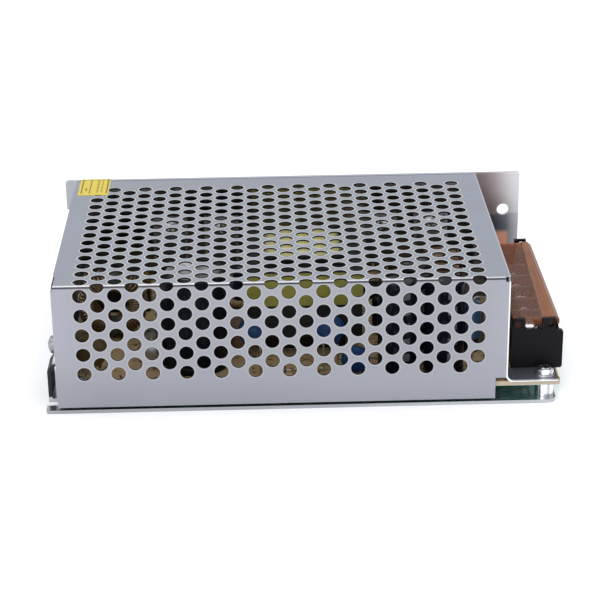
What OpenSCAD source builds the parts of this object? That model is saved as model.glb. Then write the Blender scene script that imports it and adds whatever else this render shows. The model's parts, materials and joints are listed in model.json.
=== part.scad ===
// Mesh case switching power supply: an L-shaped chassis, a perforated cover folded over it,
// a circuit board on stand-offs with its parts, and a screw terminal block with a hinged flap.
// X runs along the case to the terminals, Y from the perforated side to the tall wall, Z up.
// The origin is the middle of the case's underside. Lengths are in millimetres.

/* [Case] */
// Length of the chassis
case_l = 159; // [154:0.5:175]
// Width over the perforated side and the tall wall
case_w = 96; // [93:0.5:110]
// Height of the case
case_h = 42.8; // [41.6:0.2:52]
// Thickness of the chassis sheet
sheet_t = 1.2; // [0.8:0.1:1.4]
// Outer radius of the chassis bend
sheet_bend_r = 1.8; // [1.6:0.1:2.4]
// Radius of the chassis corners at the terminal end of the base
corner_r = 3; // [1:0.5:5]
// Radius of the other chassis corners and of the foot
small_corner_r = 1; // [0.5:0.5:3]
// Diameter of the fixing hole in the ear of the tall wall
ear_hole_d = 4.1; // [3:0.1:5]
// Height of the ear hole above the underside
ear_hole_z = 29; // [24:0.5:32]
// Distance of the ear hole from the end of the case
ear_hole_in = 5.6; // [4:0.2:8]
// Width of the open slots in the closed end
slot_w = 4.6; // [3:0.1:5]
// Depth of the open slots
slot_l = 7; // [5:0.5:10]

/* [Cover] */
// Thickness of the cover sheet
cover_t = 0.5; // [0.4:0.1:1]
// Outer radius of the cover bends
cover_bend_r = 1; // [0.9:0.1:2]
// Length of chassis left bare at the closed end
bare_l = 3.9; // [3.4:0.1:7]
// Length of chassis left bare at the terminal end
bare_r = 15.7; // [14:0.5:17]
// Gap between the base and the lower edge of the cover
hem_gap = 0.9; // [0.3:0.1:1.5]
// Width of the flanges turned in from the perforated side
flange_w = 9.6; // [6:0.2:9.8]
// Height of the lips turned down from the top
lip_h = 4; // [2:0.5:7]
// Width of the seams between two folded edges
seam = 0.5; // [0.2:0.1:1]
// Size of the open corner where three folds meet
relief = 1.5; // [1:0.1:2.5]

/* [Perforation] */
// Diameter of each hole
mesh_d = 4.3; // [2:0.1:4.6]
// Distance between neighbouring columns of holes
column_pitch = 5.27; // [5:0.1:8]
// Distance between the holes of one column
row_pitch = 6.52; // [6:0.1:9]
// Plain margin beside the first column
mesh_margin_l = 8.7; // [6:0.1:14]
// Plain margin beyond the last column
mesh_margin_r = 9; // [6:0.5:14]
// Plain margin at the tall wall
mesh_margin_back = 9; // [6:0.5:14]
// Plain margin along the lower edge
mesh_margin_low = 11; // [8:0.5:14]

/* [Label] */
// Width of the label
label_w = 10.4; // [8:0.2:12]
// Length of the label on the top
label_l = 16; // [12:0.1:18]
// Length of the label on the tall wall
label_drop = 9; // [6:0.5:14]
// Thickness of the label
label_t = 0.1; // [0.1:0.05:0.2]

/* [Foot and tab] */
// Length of the foot beyond the cover
foot_l = 16; // [15.2:0.2:18]
// Inner radius where the foot curves out of its flange
foot_bend_r = 2.2; // [1:0.2:3]
// Width of the notch beside the foot
notch_w = 3.7; // [2:0.1:6]
// Width of the end tab
tab_w = 10; // [8:0.5:14]
// Height of the end tab
tab_h = 22.5; // [21:0.5:28]
// Height at which the tab steps in
tab_step_z = 10.4; // [6:0.2:10.6]
// Height of the tab's screw
tab_screw_z = 17.5; // [17.3:0.1:19]

/* [Screws] */
// Diameter of the fixing screws
screw_d = 3; // [2.5:0.1:3.2]
// Diameter of the screw heads
head_d = 5.6; // [5:0.1:6]
// Height of the screw heads
head_h = 1.9; // [1.6:0.1:2.4]
// Height of the tab screw's head
tab_head_h = 2.4; // [1.6:0.1:2.6]
// Diameter of the flat washer
washer_d = 6.2; // [6:0.1:7]
// Thickness of the flat washer
washer_t = 0.3; // [0.3:0.1:0.8]
// Thickness of the spring washer
spring_t = 0.5; // [0.4:0.1:1]

/* [Board] */
// Thickness of the circuit board
board_t = 1.6; // [1:0.1:2]
// Height of the stand-offs
standoff_h = 4.6; // [3:0.1:5]
// Diameter of the stand-offs
standoff_d = 5.8; // [5:0.1:6.5]
// Length of board beyond the chassis at the terminals
board_over = 1; // [0:0.1:3]

/* [Terminal block] */
// Number of terminals
ways = 7; // [5:1:7]
// Distance between terminals
way_pitch = 9.5; // [9.2:0.1:9.6]
// Thickness of each barrier
barrier_t = 1.5; // [1:0.1:1.8]
// Depth of the block from its back to its front
block_d = 16.1; // [15.6:0.1:17]
// Height of the block
block_h = 17; // [16.6:0.1:18]
// Height of the front shoulder
shoulder_h = 12.9; // [11:0.1:13.5]
// Depth of the front shoulder
shoulder_d = 2.5; // [2:0.1:3]
// Height of the floor that carries the plates
floor_h = 10.2; // [9.5:0.1:10.4]
// Thickness of the plates
plate_t = 0.9; // [0.6:0.1:1]
// Side of the square clamps
clamp_w = 6.6; // [6:0.1:7]
// Thickness of the clamps
clamp_t = 0.9; // [0.6:0.1:1]
// Diameter of the terminal screw heads
terminal_head_d = 6; // [5:0.1:6.4]
// Height of the terminal screw heads
terminal_head_h = 2; // [1.6:0.1:2.2]

/* [Terminal flap] */
// Thickness of the flap
flap_t = 0.8; // [0.6:0.1:0.9]
// Height of the rib along the flap's outer edge
flap_rib_h = 0.4; // [0.2:0.1:0.6]
// Diameter of the flap's hinge pins
flap_pin_d = 2; // [1.6:0.1:2.2]
// Height of the hinge pins above the foot of the block
flap_pin_z = 14.9; // [14.7:0.1:15.1]
// Room between the flap and the block
flap_gap = 0.3; // [0.2:0.05:0.4]
// Room between the flap's near end and the block's end wall
flap_side = 0.2; // [0.1:0.05:0.6]
// Room between the flap's far end and the block's end wall
flap_far_side = 1.5; // [0.1:0.1:2.5]
// Depth by which the flap lies below the top of the block
flap_sunk = 0.4; // [0.2:0.1:0.6]

/* [Capacitors] */
// Diameter of the large capacitor
bulk_d = 22; // [18:0.5:22]
// Room between the large capacitor and the cover
bulk_room = 3; // [2:0.1:9]
// Diameter of the output capacitors
output_d = 12.6; // [10:0.2:12.8]
// Room between the output capacitors and the cover
output_room = 4; // [2:0.1:12]
// Thickness of the sleeves round the cans
sleeve_t = 0.3; // [0.2:0.05:0.5]
// Diameter of the small capacitors
small_d = 6.3; // [5:0.1:6.5]
// Height of the small capacitors
small_h = 11.5; // [9:0.5:14]
// Diameter of the disc capacitors
disc_d = 9; // [7:0.5:9]
// Thickness of the disc capacitors
disc_t = 3.6; // [3:0.2:4]

/* [Magnetics] */
// Width of the main core
core_w = 37; // [34:0.5:37]
// Length of the main core
core_l = 40; // [38:0.5:41]
// Room between the main coil and the cover
coil_room = 3; // [2:0.1:5]
// Height of the main core's underside above the board
core_rise = 6.8; // [6:0.2:7]
// Thickness of the main core's ends
core_end = 6.5; // [5:0.1:7]
// Thickness of the main core's sides
core_side = 4.8; // [4:0.1:5]
// Width of the main core's middle leg
core_leg = 11; // [9:0.5:12]
// Height by which the main coil stands over the core
coil_over = 2.7; // [2:0.1:3]
// Width of the tape round the main core
tape_w = 11; // [8:0.5:12]
// Thickness of the tape round the main core
tape_t = 0.25; // [0.1:0.05:0.4]
// Outer radius of the input choke's core
choke_r = 10.4; // [9:0.1:10.6]
// Inner radius of the input choke's core
choke_bore_r = 6; // [5:0.1:6.5]
// Thickness of the input choke's core
choke_t = 7; // [5:0.5:8]
// Build of the chokes' windings
wind_t = 1.4; // [0.8:0.1:1.5]
// Outer radius of the output choke's core
out_choke_r = 10.5; // [9:0.1:11]
// Inner radius of the output choke's core
out_choke_bore_r = 5.5; // [5:0.1:6]
// Thickness of the output choke's core
out_choke_t = 10; // [8:0.5:11]

/* [Hidden] */

$fn = 48;
cut = 0.5;              // how far a cutter runs past the face that it leaves
fit = 0.1;              // clearance round a part that drops into another
left = -case_l / 2;
right = case_l / 2;
near = -case_w / 2;
far = case_w / 2;
wall_in = far - sheet_t;        // inner face of the tall wall

cover_x0 = left + bare_l;
cover_x1 = right - bare_r;
cover_z0 = sheet_t + hem_gap;
cover_l = cover_x1 - cover_x0;
cover_back = wall_in - fit;
under_top = case_h - cover_t;

screw_r = screw_d / 2;
tapped_r = screw_r + 0.05;      // hole that a screw runs into
passing_r = screw_r + 0.2;      // hole that a screw passes through
dome_r = 1.5 * head_d / 2;      // radius of a screw head's crown

end_room = 1.5;         // room between the board and the closed end
side_room = 0.6;        // room between the board and the perforated side
board_z = sheet_t + standoff_h;
top = board_z + board_t;        // upper face of the board, which carries the parts
board_x0 = cover_x0 + cover_t + end_room;
board_x1 = right + board_over;
board_y0 = near + cover_t + side_room;
board_y1 = wall_in - 0.4;
board_corner_r = 1;

foot_screw_x = right - 3.4;
foot_screw_y = near + 4.8;
post_in = 5;            // distance of the other stand-offs from the board's edges
post_back = 17.5;       // length by which the far one stands back from the foot screw
posts = [[foot_screw_x, foot_screw_y], [board_x0 + post_in, board_y0 + post_in],
    [board_x0 + post_in, board_y1 - post_in], [foot_screw_x - post_back, board_y1 - post_in]];
foot_stack = cover_t + washer_t + spring_t;

tab_y0 = near + 9;
tab_y = tab_y0 + tab_w / 2;
tab_in = bare_l - sheet_t;      // how far the tab steps in to lie on the cover's end
tab_slope = 4;                  // height over which it does so
slot_y = tab_y0 - 0.6 - slot_w / 2;
notch_z = top + 1.7;            // where the notch beside the foot ends at the end face
label_x = cover_x0 + 1.6;

// Perforation: even columns stand half a row away from the fold, odd ones start on it
columns = floor((cover_l - mesh_margin_l - mesh_margin_r) / column_pitch) + 1;
top_rows = floor((case_w - sheet_t - mesh_margin_back) / row_pitch);
side_span = (case_h - cover_z0 - mesh_margin_low) / row_pitch;
end_columns = floor((case_w - 2 * mesh_margin_back - 10) / column_pitch) + 1;
mesh_r = mesh_d / 2;
function column_x(i) = cover_x0 + mesh_margin_l + i * column_pitch;
function stagger(i) = (i % 2 == 0) ? 0.5 : 0;

// Terminal block
block_x0 = cover_x1 + 2.4;
block_x1 = block_x0 + block_d;
block_y0 = near + 10;
block_len = ways * way_pitch + barrier_t;
block_y1 = block_y0 + block_len;
block_top = top + block_h;
floor_z = top + floor_h;
way_w = way_pitch - barrier_t;
back_wall_t = 2.2;
back_wall_z = top + 13.2;
horn_w = 4;             // width of the two horns of each end wall
horn_z = top + 13;      // floor of the notch between them
shoulder_r = 0.8;
clamp_x = block_x0 + back_wall_t + 0.4 + clamp_w / 2;
plate_l = clamp_w + 2;
screw_seat = floor_z + plate_t + clamp_t;
function way_y(i) = block_y0 + barrier_t + way_w / 2 + i * way_pitch;

// Flap: its pins turn in the block's end walls
pin_r = flap_pin_d / 2;
pin_x = block_x0 + 1.8;
pin_z = top + flap_pin_z;
pin_gap = 0.06;         // running clearance of the pins
latch_x = pin_x + 10.2;
latch_z = pin_z + 0.2;
latch_in = 0.5;         // how far the latch pins reach into the end walls
latch_room = 0.1;       // room at the pins' ends
flap_z = block_top - flap_sunk - flap_t;
flap_x0 = pin_x - 1.4;
flap_reach = 0.6;        // room between the lip and the front of the barriers
flap_x1 = block_x0 + block_d - shoulder_d + flap_reach + flap_t;
flap_rib_x = flap_x1 - 4.2;
flap_lip_z = pin_z - 0.4;
flap_y0 = block_y0 + barrier_t + flap_side;
flap_y1 = block_y1 - barrier_t - flap_far_side;
flap_end_t = 0.8;
flap_end_low = pin_z - 0.7;     // lower edge of the end plates
barrier_z = flap_z - flap_gap;      // top of the barriers under the flap
barrier_r = barrier_z - pin_z;      // their round back corner, inside the turning flap

// Parts on the board, placed from its closed end and its near edge
bulk_h = under_top - top - bulk_room - sleeve_t;
output_h = under_top - top - output_room - sleeve_t;
bulk_at = [board_x0 + 40.4, board_y0 + 19];
choke_at = [board_x0 + 13, board_y0 + 41];
choke_z = top + choke_r + wind_t + fit;
fuse_at = [board_x0 + 26, board_y0 + 13];
fuse_z = top + 6.2;
fuse_r = 2.5;
fuse_l = 20;
fuse_cap_l = 5;
clip_t = 0.4;
filter_at = [board_x0 + 13, board_y0 + 64];
filter_size = [22, 9, 15];
bridge_at = [board_x0 + 40, board_y0 + 46];
bridge_size = [20, 4, 14];
bridge_rise = 2.4;
thermistor_at = [board_x0 + 7.4, board_y0 + 14];
thermistor_r = 5.5;
thermistor_t = 4;
core_at = [board_x0 + 75.1, board_y0 + 41];    // middle of the main core
core_z = top + core_rise;
core_t = under_top - coil_room - coil_over - core_z;
window_l = core_l - 2 * core_end;
window_w = (core_w - 2 * core_side - core_leg) / 2;
coil_w = core_w - 2 * core_side - 0.4;
coil_hole_w = core_leg + fit;   // what the coil former leaves open for the leg
coil_low = core_rise - coil_over;
coil_high = core_rise + core_t + coil_over;
bobbin_t = 0.8;
flange_t = 1.2;
rail_w = 3.8;           // width of the rails on which the former stands
discs = [[board_x0 + 58.6, board_y0 + 9.5, 10.2], [board_x0 + 83, board_y0 + 10.5, 10],
    [board_x0 + 90.6, board_y0 + 6.2, 1.2]];   // each with the height of its lower edge
film_size = [5.4, 13, 11];
films = [[board_x0 + 53.6, board_y0 + 30], [board_x0 + 107, board_y0 + 56]];
drive_at = [board_x0 + 72, board_y0 + 77];
drive_core_size = [19, 5, 14];
drive_window = [13.6, 8.8];
drive_leg = 4.8;
output_at = [[board_x0 + 104, board_y0 + 9.6], [board_x0 + 118.5, board_y0 + 9.6],
    [board_x0 + 111, board_y0 + 24]];
out_choke_at = [board_x0 + 122, board_y0 + 52];
out_choke_z = top + out_choke_r + wind_t + fit;
smalls = [[board_x0 + 128, board_y0 + 24], [board_x0 + 101, board_y0 + 40],
    [board_x0 + 93, board_y0 + 78.6], [board_x0 + 55, board_y0 + 70]];
chip_at = [board_x0 + 96, board_y0 + 70];
chip_size = [19.6, 6.4, 3.4];
chip_rise = 0.6;
resistors = [[board_x0 + 68, board_y0 + 4.4], [board_x0 + 76.4, board_y0 + 9.5],
    [board_x0 + 33, board_y0 + 61.6], [board_x0 + 33, board_y0 + 65], [board_x0 + 108, board_y0 + 77],
    [board_x0 + 126, board_y0 + 33], [board_x0 + 52, board_y0 + 61.4]];
diodes = [[board_x0 + 66.4, board_y0 + 8.4], [board_x0 + 33, board_y0 + 68.6],
    [board_x0 + 108, board_y0 + 81]];
power_r = 2.4;
power_l = 13;
power_at = [[board_x0 + 44, board_y0 + 55.4], [board_x0 + 48, board_y0 + 76]];
upright_at = [board_x0 + 127.6, board_y0 + 10.8];
upright_z = 10;         // height of the upright resistor's body above the board
lead_r = 0.3;
pin_pitch = 2.54;
transistor_w = 10;
tab_t = 1.3;
body_t = 4.4;
pad_t = 0.3;
transistor_rise = 5;
transistor_h = 15.5;
transistor_body_h = 9;
transistor_screw_z = top + transistor_rise + 12.7;
switch_x = [board_x0 + 30, board_x0 + 48];
rectifier_x = [board_x0 + 104, board_x0 + 122];
trimmer_at = [block_x0 + 4, (block_y1 + wall_in) / 2];
trimmer_size = [7, 6.8, 4.6];
rotor_r = 2.4;
rotor_h = 1.6;
lamp_at = [block_x0 + 11.4, (block_y1 + wall_in) / 2];
lamp_r = 1.5;
lamp_h = 5;

// A flat outline in X and Z carried from y0 to y1
module along_y(y0, y1) translate([0, y1, 0]) rotate([90, 0, 0]) linear_extrude(y1 - y0) children();

// A flat outline in Y and Z carried from x0 to x1
module along_x(x0, x1) translate([x0, 0, 0]) rotate([90, 0, 90]) linear_extrude(x1 - x0) children();

module box(low, high) translate(low) cube(high - low);

// A quarter ring, thick towards its centre by t, that fills the corner in the direction given
module bend(centre, r, t, dx, dy) intersection() {
    translate(centre) difference() {
        circle(r);
        circle(r - t);
    }
    translate(centre + [dx < 0 ? -r : 0, dy < 0 ? -r : 0]) square(r);
}

// The square corner outside a quarter circle whose corner point is the origin
module round_waste(r) difference() {
    translate([-cut, -cut]) square(r + cut);
    translate([r, r]) circle(r);
}

// Crossed recess for a driver, cut down from z = 0
module cross_recess(size, depth) for (a = [0, 90]) rotate(a)
    translate([-size / 2, -0.4, -depth]) cube([size, 0.8, depth + cut]);

// Pan-head screw: the head stands on z = 0 and the shank hangs below it
module pan_screw(head, height, shank, length) difference() {
    union() {
        intersection() {
            cylinder(d = head, h = height);
            translate([0, 0, height - dome_r]) sphere(dome_r);
        }
        translate([0, 0, -length]) cylinder(r = shank, h = length + cut);
    }
    translate([0, 0, height]) cross_recess(head * 0.56, height * 0.6);
}

module at_points(points) for (p = points) translate([p[0], p[1], 0]) children();

// A part with two leads lying along X: its body rests just over the board
module axial(body_r, body_l, span) translate([0, 0, top + body_r + fit]) {
    rotate([0, 90, 0]) cylinder(r = body_r, h = body_l, center = true);
    rotate([0, 90, 0]) cylinder(r = lead_r, h = span + 2 * lead_r, center = true);
    for (side = [-1, 1]) translate([side * span / 2, 0, -body_r - fit])
        cylinder(r = lead_r, h = body_r + fit);
}

module ring(outer, inner, thick) rotate_extrude()
    translate([inner, -thick / 2]) square([outer - inner, thick]);

// Part of a winding: a hollow section that wraps a ring core and turns through an angle
module winding(outer, inner, thick, build, start, sweep) rotate(start)
    rotate_extrude(angle = sweep) difference() {
        translate([inner - build, -thick / 2 - build])
            square([outer - inner + 2 * build, thick + 2 * build]);
        translate([inner - fit / 2, -thick / 2 - fit / 2])
            square([outer - inner + fit, thick + fit]);
    }

// Chassis: base and tall wall folded from one sheet, with the stepped end tab
module chassis() color([0.72, 0.73, 0.76]) difference() {
    union() {
        along_x(left, right) {
            translate([near, 0]) square([case_w - sheet_bend_r, sheet_t]);
            translate([wall_in, sheet_bend_r]) square([sheet_t, case_h - sheet_bend_r]);
            bend([far - sheet_bend_r, sheet_bend_r], sheet_bend_r, sheet_t, 1, -1);
        }
        along_y(tab_y0, tab_y0 + tab_w) translate([left, 0]) polygon([[0, 0], [0, tab_step_z],
            [tab_in, tab_step_z + tab_slope], [tab_in, tab_h], [tab_in + sheet_t, tab_h],
            [tab_in + sheet_t, tab_step_z + tab_slope - 0.4], [sheet_t, tab_step_z - 0.4],
            [sheet_t, 0]]);
    }
    for (x = [left, right]) translate([x, near, -cut]) rotate(x < 0 ? 0 : 90)
        linear_extrude(sheet_t + 2 * cut) round_waste(x < 0 ? small_corner_r : corner_r);
    for (x = [left, right]) translate([x, far + cut, case_h]) rotate([90, x < 0 ? 90 : 180, 0])
        linear_extrude(sheet_t + 2 * cut) round_waste(small_corner_r);
    translate([right - ear_hole_in, far + cut, ear_hole_z]) rotate([90, 0, 0])
        cylinder(d = ear_hole_d, h = sheet_t + 2 * cut);
    along_y(wall_in - cut, far + cut) open_slot(left + slot_l - slot_w / 2, ear_hole_z + 1);
    translate([0, 0, -cut]) linear_extrude(sheet_t + 2 * cut)
        open_slot(left + slot_l - slot_w / 2, slot_y);
    translate([left - cut, tab_y, tab_screw_z]) rotate([0, 90, 0])
        cylinder(r = passing_r, h = bare_l + cut + sheet_t);
    for (x = concat(switch_x, rectifier_x)) translate([x, far + cut, transistor_screw_z])
        rotate([90, 0, 0]) cylinder(r = tapped_r, h = sheet_t + 2 * cut);
}

// Slot that runs out of the closed end, with a round inner end
module open_slot(x, y) {
    translate([x, y]) circle(slot_w / 2);
    translate([left - cut, y - slot_w / 2]) square([x - left + cut, slot_w]);
}

// Perforated cover: side, top and closed end folded from one sheet, with the foot
module mesh_cover() color([0.68, 0.70, 0.75]) difference() {
    union() {
        difference() {
            along_x(cover_x0, cover_x1) cover_section();
            box([cover_x1 - notch_w, near - cut, 0], [cover_x1 + cut, near + cover_t + fit, notch_z]);
        }
        box([cover_x0, near + flange_w + seam, cover_z0], [cover_x0 + cover_t, cover_back, case_h - seam]);
        box([cover_x0, near, cover_z0], [cover_x0 + cover_t, near + flange_w, under_top - seam]);
        box([cover_x1 - cover_t, near + flange_w + seam, case_h - lip_h],
            [cover_x1, cover_back, case_h - seam]);
        box([cover_x1 - cover_t, near, top + cover_t + foot_bend_r],
            [cover_x1, near + flange_w, under_top - seam]);
        along_y(near, near + flange_w) {
            bend([cover_x1 + foot_bend_r, top + cover_t + foot_bend_r],
                foot_bend_r + cover_t, cover_t, -1, -1);
            translate([cover_x1 + foot_bend_r, top]) square([foot_l - foot_bend_r, cover_t]);
        }
    }
    mesh_holes();
    box([cover_x0 - cut, near - cut, case_h - relief], [cover_x0 + cover_t, near + relief, case_h + cut]);
    box([cover_x0 - cut, near, under_top - seam],
        [cover_x0 + cover_t / 2, near + flange_w + seam, case_h + cut]);
    box([cover_x1 - relief, near - cut, case_h - relief], [cover_x1 + cut, near + relief, case_h + cut]);
    translate([foot_screw_x, foot_screw_y, top - cut]) cylinder(r = passing_r, h = cover_t + 2 * cut);
    translate([cover_x1 + foot_l, near, top - cut]) rotate(90)
        linear_extrude(cover_t + 2 * cut) round_waste(small_corner_r);
    translate([cover_x0 - cut, tab_y, tab_screw_z]) rotate([0, 90, 0])
        cylinder(r = tapped_r, h = cover_t + 2 * cut);
}

// Side, top and back lip of the cover, seen along the case
module cover_section() {
    translate([near, cover_z0]) square([cover_t, case_h - cover_bend_r - cover_z0]);
    bend([near + cover_bend_r, case_h - cover_bend_r], cover_bend_r, cover_t, -1, 1);
    translate([near + cover_bend_r, under_top])
        square([cover_back - near - 2 * cover_bend_r, cover_t]);
    bend([cover_back - cover_bend_r, case_h - cover_bend_r], cover_bend_r, cover_t, 1, 1);
    translate([cover_back - cover_t, case_h - lip_h]) square([cover_t, lip_h - cover_bend_r]);
}

module mesh_holes() {
    for (i = [0 : columns - 1]) {
        for (k = [1 : top_rows]) translate([column_x(i), near + row_pitch * (k - stagger(i)),
            under_top - cut]) cylinder(r = mesh_r, h = cover_t + 2 * cut);
        for (k = [1 : floor(side_span + stagger(i))]) translate([column_x(i), near + cover_t + cut,
            case_h - row_pitch * (k - stagger(i))]) rotate([90, 0, 0])
            cylinder(r = mesh_r, h = cover_t + 2 * cut);
        if (stagger(i) == 0) {
            translate([column_x(i), near, case_h - cover_bend_r])
                cylinder(r = mesh_r, h = cover_bend_r + cut);
            translate([column_x(i), near + cover_bend_r, case_h]) rotate([90, 0, 0])
                cylinder(r = mesh_r, h = cover_bend_r + cut);
        }
    }
    for (i = [0 : end_columns - 1]) for (k = [2 : floor(side_span - 1 + stagger(i))])
        translate([cover_x0 - cut, near + flange_w + mesh_margin_back + i * column_pitch,
            case_h - row_pitch * (k - stagger(i))]) rotate([0, 90, 0])
            cylinder(r = mesh_r, h = cover_t + 2 * cut);
}

// Paper seal over the joint of the cover and the tall wall
module seal_label() color([0.95, 0.82, 0.2]) {
    box([label_x, far - label_l, case_h], [label_x + label_w, far + label_t, case_h + label_t]);
    box([label_x, far, case_h - label_drop], [label_x + label_w, far + label_t, case_h + label_t / 2]);
}

module circuit_board() color([0.78, 0.66, 0.45]) translate([0, 0, board_z])
    linear_extrude(board_t) difference() {
        translate([board_x0, board_y0]) square([board_x1 - board_x0, board_y1 - board_y0]);
        translate([board_x1, board_y0]) rotate(90) round_waste(board_corner_r);
        translate([board_x0, board_y0]) round_waste(board_corner_r);
        at_points(posts) circle(passing_r);
    }

module standoffs() color([0.86, 0.86, 0.88]) at_points(posts) translate([0, 0, sheet_t])
    difference() {
        cylinder(d = standoff_d, h = standoff_h);
        translate([0, 0, -cut]) cylinder(r = tapped_r, h = standoff_h + 2 * cut);
    }

module board_screws() color([0.82, 0.83, 0.85]) for (i = [1 : 3])
    translate([posts[i][0], posts[i][1], top])
        pan_screw(head_d, head_h, screw_r, board_t + standoff_h);

module foot_screw() color([0.86, 0.87, 0.89]) translate([foot_screw_x, foot_screw_y, top + foot_stack])
    pan_screw(head_d, head_h, screw_r, foot_stack + board_t + standoff_h);

module flat_washer() color([0.84, 0.85, 0.87])
    translate([foot_screw_x, foot_screw_y, top + cover_t + washer_t / 2])
        ring(washer_d / 2, passing_r, washer_t);

// Spring washer: a flat ring with its cut
module spring_washer() color([0.75, 0.76, 0.78])
    translate([foot_screw_x, foot_screw_y, top + cover_t + washer_t + spring_t / 2]) difference() {
        ring(head_d / 2 - 0.1, passing_r, spring_t);
        translate([0, -0.3, -spring_t]) cube([head_d, 0.6, 2 * spring_t]);
    }

module tab_screw() color([0.84, 0.85, 0.87]) translate([left + tab_in, tab_y, tab_screw_z])
    rotate([0, -90, 0]) pan_screw(head_d, tab_head_h, screw_r, sheet_t + cover_t + 3);

// Terminal block: barriers stand on a common body, and the end walls carry the flap
module terminal_block() color([0.09, 0.09, 0.10]) difference() {
    along_y(block_y0, block_y1) block_outline();
    for (i = [0 : ways - 1]) {
        box([block_x0 - cut, way_y(i) - way_w / 2, back_wall_z],
            [block_x1, way_y(i) + way_w / 2, block_top + cut]);
        box([block_x0 + back_wall_t, way_y(i) - way_w / 2, floor_z],
            [block_x1 + cut, way_y(i) + way_w / 2, block_top + cut]);
        translate([clamp_x, way_y(i), top + 2]) cylinder(r = tapped_r, h = block_h);
    }
    along_y(block_y0 + barrier_t, block_y1 - barrier_t) barrier_waste();
    for (y = [block_y0 - cut, block_y1 - barrier_t - cut]) {
        box([block_x0 + horn_w, y, horn_z], [block_x1 - shoulder_d - horn_w, y + barrier_t + 2 * cut,
            block_top + cut]);
        translate([pin_x, y + barrier_t + 2 * cut, pin_z]) rotate([90, 0, 0])
            cylinder(r = pin_r + pin_gap, h = barrier_t + 2 * cut);
        translate([latch_x, y + barrier_t + 2 * cut, latch_z]) rotate([90, 0, 0])
            cylinder(r = pin_r + 2 * pin_gap, h = barrier_t + 2 * cut);
    }
    // grooves in the end walls' inner faces, by which the latch pins come up
    box([latch_x - pin_r - 0.4, block_y0 + barrier_t - latch_in - latch_room, latch_z],
        [latch_x + pin_r + 2 * pin_gap, block_y1 - barrier_t + latch_in + latch_room, block_top + cut]);
}

// What is cut from the barriers between the end walls, so that the flap can turn above them
module barrier_waste() difference() {
    translate([block_x0 - cut, back_wall_z]) square([block_d, block_top - back_wall_z + cut]);
    translate([pin_x - barrier_r, back_wall_z - cut]) square([barrier_r, pin_z - back_wall_z + cut]);
    translate([pin_x, pin_z]) circle(barrier_r);
    translate([pin_x, back_wall_z - cut]) square([block_d, barrier_z - back_wall_z + cut]);
}

module block_outline() difference() {
    union() {
        translate([block_x0, top]) square([block_d, shoulder_h]);
        translate([block_x0, top]) square([block_d - shoulder_d, block_h]);
    }
    difference() {      // the top back corner is round about the hinge pin
        translate([block_x0 - cut, pin_z]) square([pin_x - block_x0 + cut, block_top - pin_z + cut]);
        translate([pin_x, pin_z]) circle(min(pin_x - block_x0, block_top - pin_z));
    }
    translate([block_x1, top]) rotate(90) round_waste(shoulder_r);
    translate([block_x1, top + shoulder_h]) rotate(180) round_waste(shoulder_r);
}

module terminal_plates() color([0.80, 0.78, 0.70]) for (i = [0 : ways - 1]) difference() {
    box([clamp_x - clamp_w / 2, way_y(i) - way_w / 2 + 0.4, floor_z],
        [clamp_x - clamp_w / 2 + plate_l, way_y(i) + way_w / 2 - 0.4, floor_z + plate_t]);
    translate([clamp_x, way_y(i), floor_z - cut]) cylinder(r = tapped_r, h = plate_t + 2 * cut);
}

module terminal_clamps() color([0.85, 0.85, 0.86]) for (i = [0 : ways - 1]) difference() {
    box([clamp_x - clamp_w / 2, way_y(i) - clamp_w / 2, floor_z + plate_t],
        [clamp_x + clamp_w / 2, way_y(i) + clamp_w / 2, screw_seat]);
    translate([clamp_x, way_y(i), floor_z]) cylinder(r = passing_r, h = plate_t + clamp_t + cut);
}

module terminal_screws() color([0.86, 0.86, 0.87]) for (i = [0 : ways - 1])
    translate([clamp_x, way_y(i), screw_seat])
        pan_screw(terminal_head_d, terminal_head_h, screw_r, screw_seat - floor_z + 5);

// Hinged flap: a ribbed strip with an end plate and two pins at each end
module terminal_flap() color([0.72, 0.38, 0.16, 0.85]) {
    along_y(flap_y0, flap_y1) flap_section();
    for (y = [flap_y0, flap_y1 - flap_end_t]) along_y(y, y + flap_end_t) flap_end();
    along_y(block_y0, flap_y0 + flap_end_t) translate([pin_x, pin_z]) circle(pin_r);
    along_y(flap_y1 - flap_end_t, block_y1) translate([pin_x, pin_z]) circle(pin_r);
    along_y(block_y0 + barrier_t - latch_in, flap_y0 + flap_end_t)
        translate([latch_x, latch_z]) circle(pin_r);
    along_y(flap_y1 - flap_end_t, block_y1 - barrier_t + latch_in)
        translate([latch_x, latch_z]) circle(pin_r);
}

module flap_section() polygon([[flap_x0, flap_z], [flap_rib_x, flap_z],
    [flap_rib_x + 1.2, flap_z + flap_rib_h], [flap_x1 - 1.6, flap_z + flap_rib_h],
    [flap_x1 - flap_t, flap_z - 0.2], [flap_x1 - flap_t, flap_lip_z], [flap_x1, flap_lip_z],
    [flap_x1, flap_z + 0.1], [flap_x1 - 1.3, flap_z + flap_rib_h + flap_t],
    [flap_rib_x + 0.9, flap_z + flap_rib_h + flap_t], [flap_rib_x - 0.3, flap_z + flap_t],
    [flap_x0, flap_z + flap_t]]);

// End plate, rounded about the hinge pin so that it turns inside the block
module flap_end() {
    translate([pin_x, pin_z]) circle(pin_r + fit);
    translate([pin_x - pin_r - fit, flap_end_low])
        square([flap_x1 - flap_t - 0.6 - pin_x + pin_r + fit, flap_z - flap_end_low]);
}

module bulk_capacitor() color([0.78, 0.79, 0.80]) translate([bulk_at[0], bulk_at[1], top]) difference() {
    cylinder(d = bulk_d - 2 * sleeve_t - 0.04, h = bulk_h);
    translate([0, 0, bulk_h]) cross_recess(bulk_d * 0.45, 0.4);
}

// Sleeve: a thin tube that turns in over the top edge
module sleeve(d, h, turn_in) {
    difference() {
        cylinder(d = d, h = h + sleeve_t);
        translate([0, 0, -cut]) cylinder(d = d - 2 * sleeve_t, h = h + cut);
        cylinder(d = d - 2 * turn_in, h = h + 1);
    }
}

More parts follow.
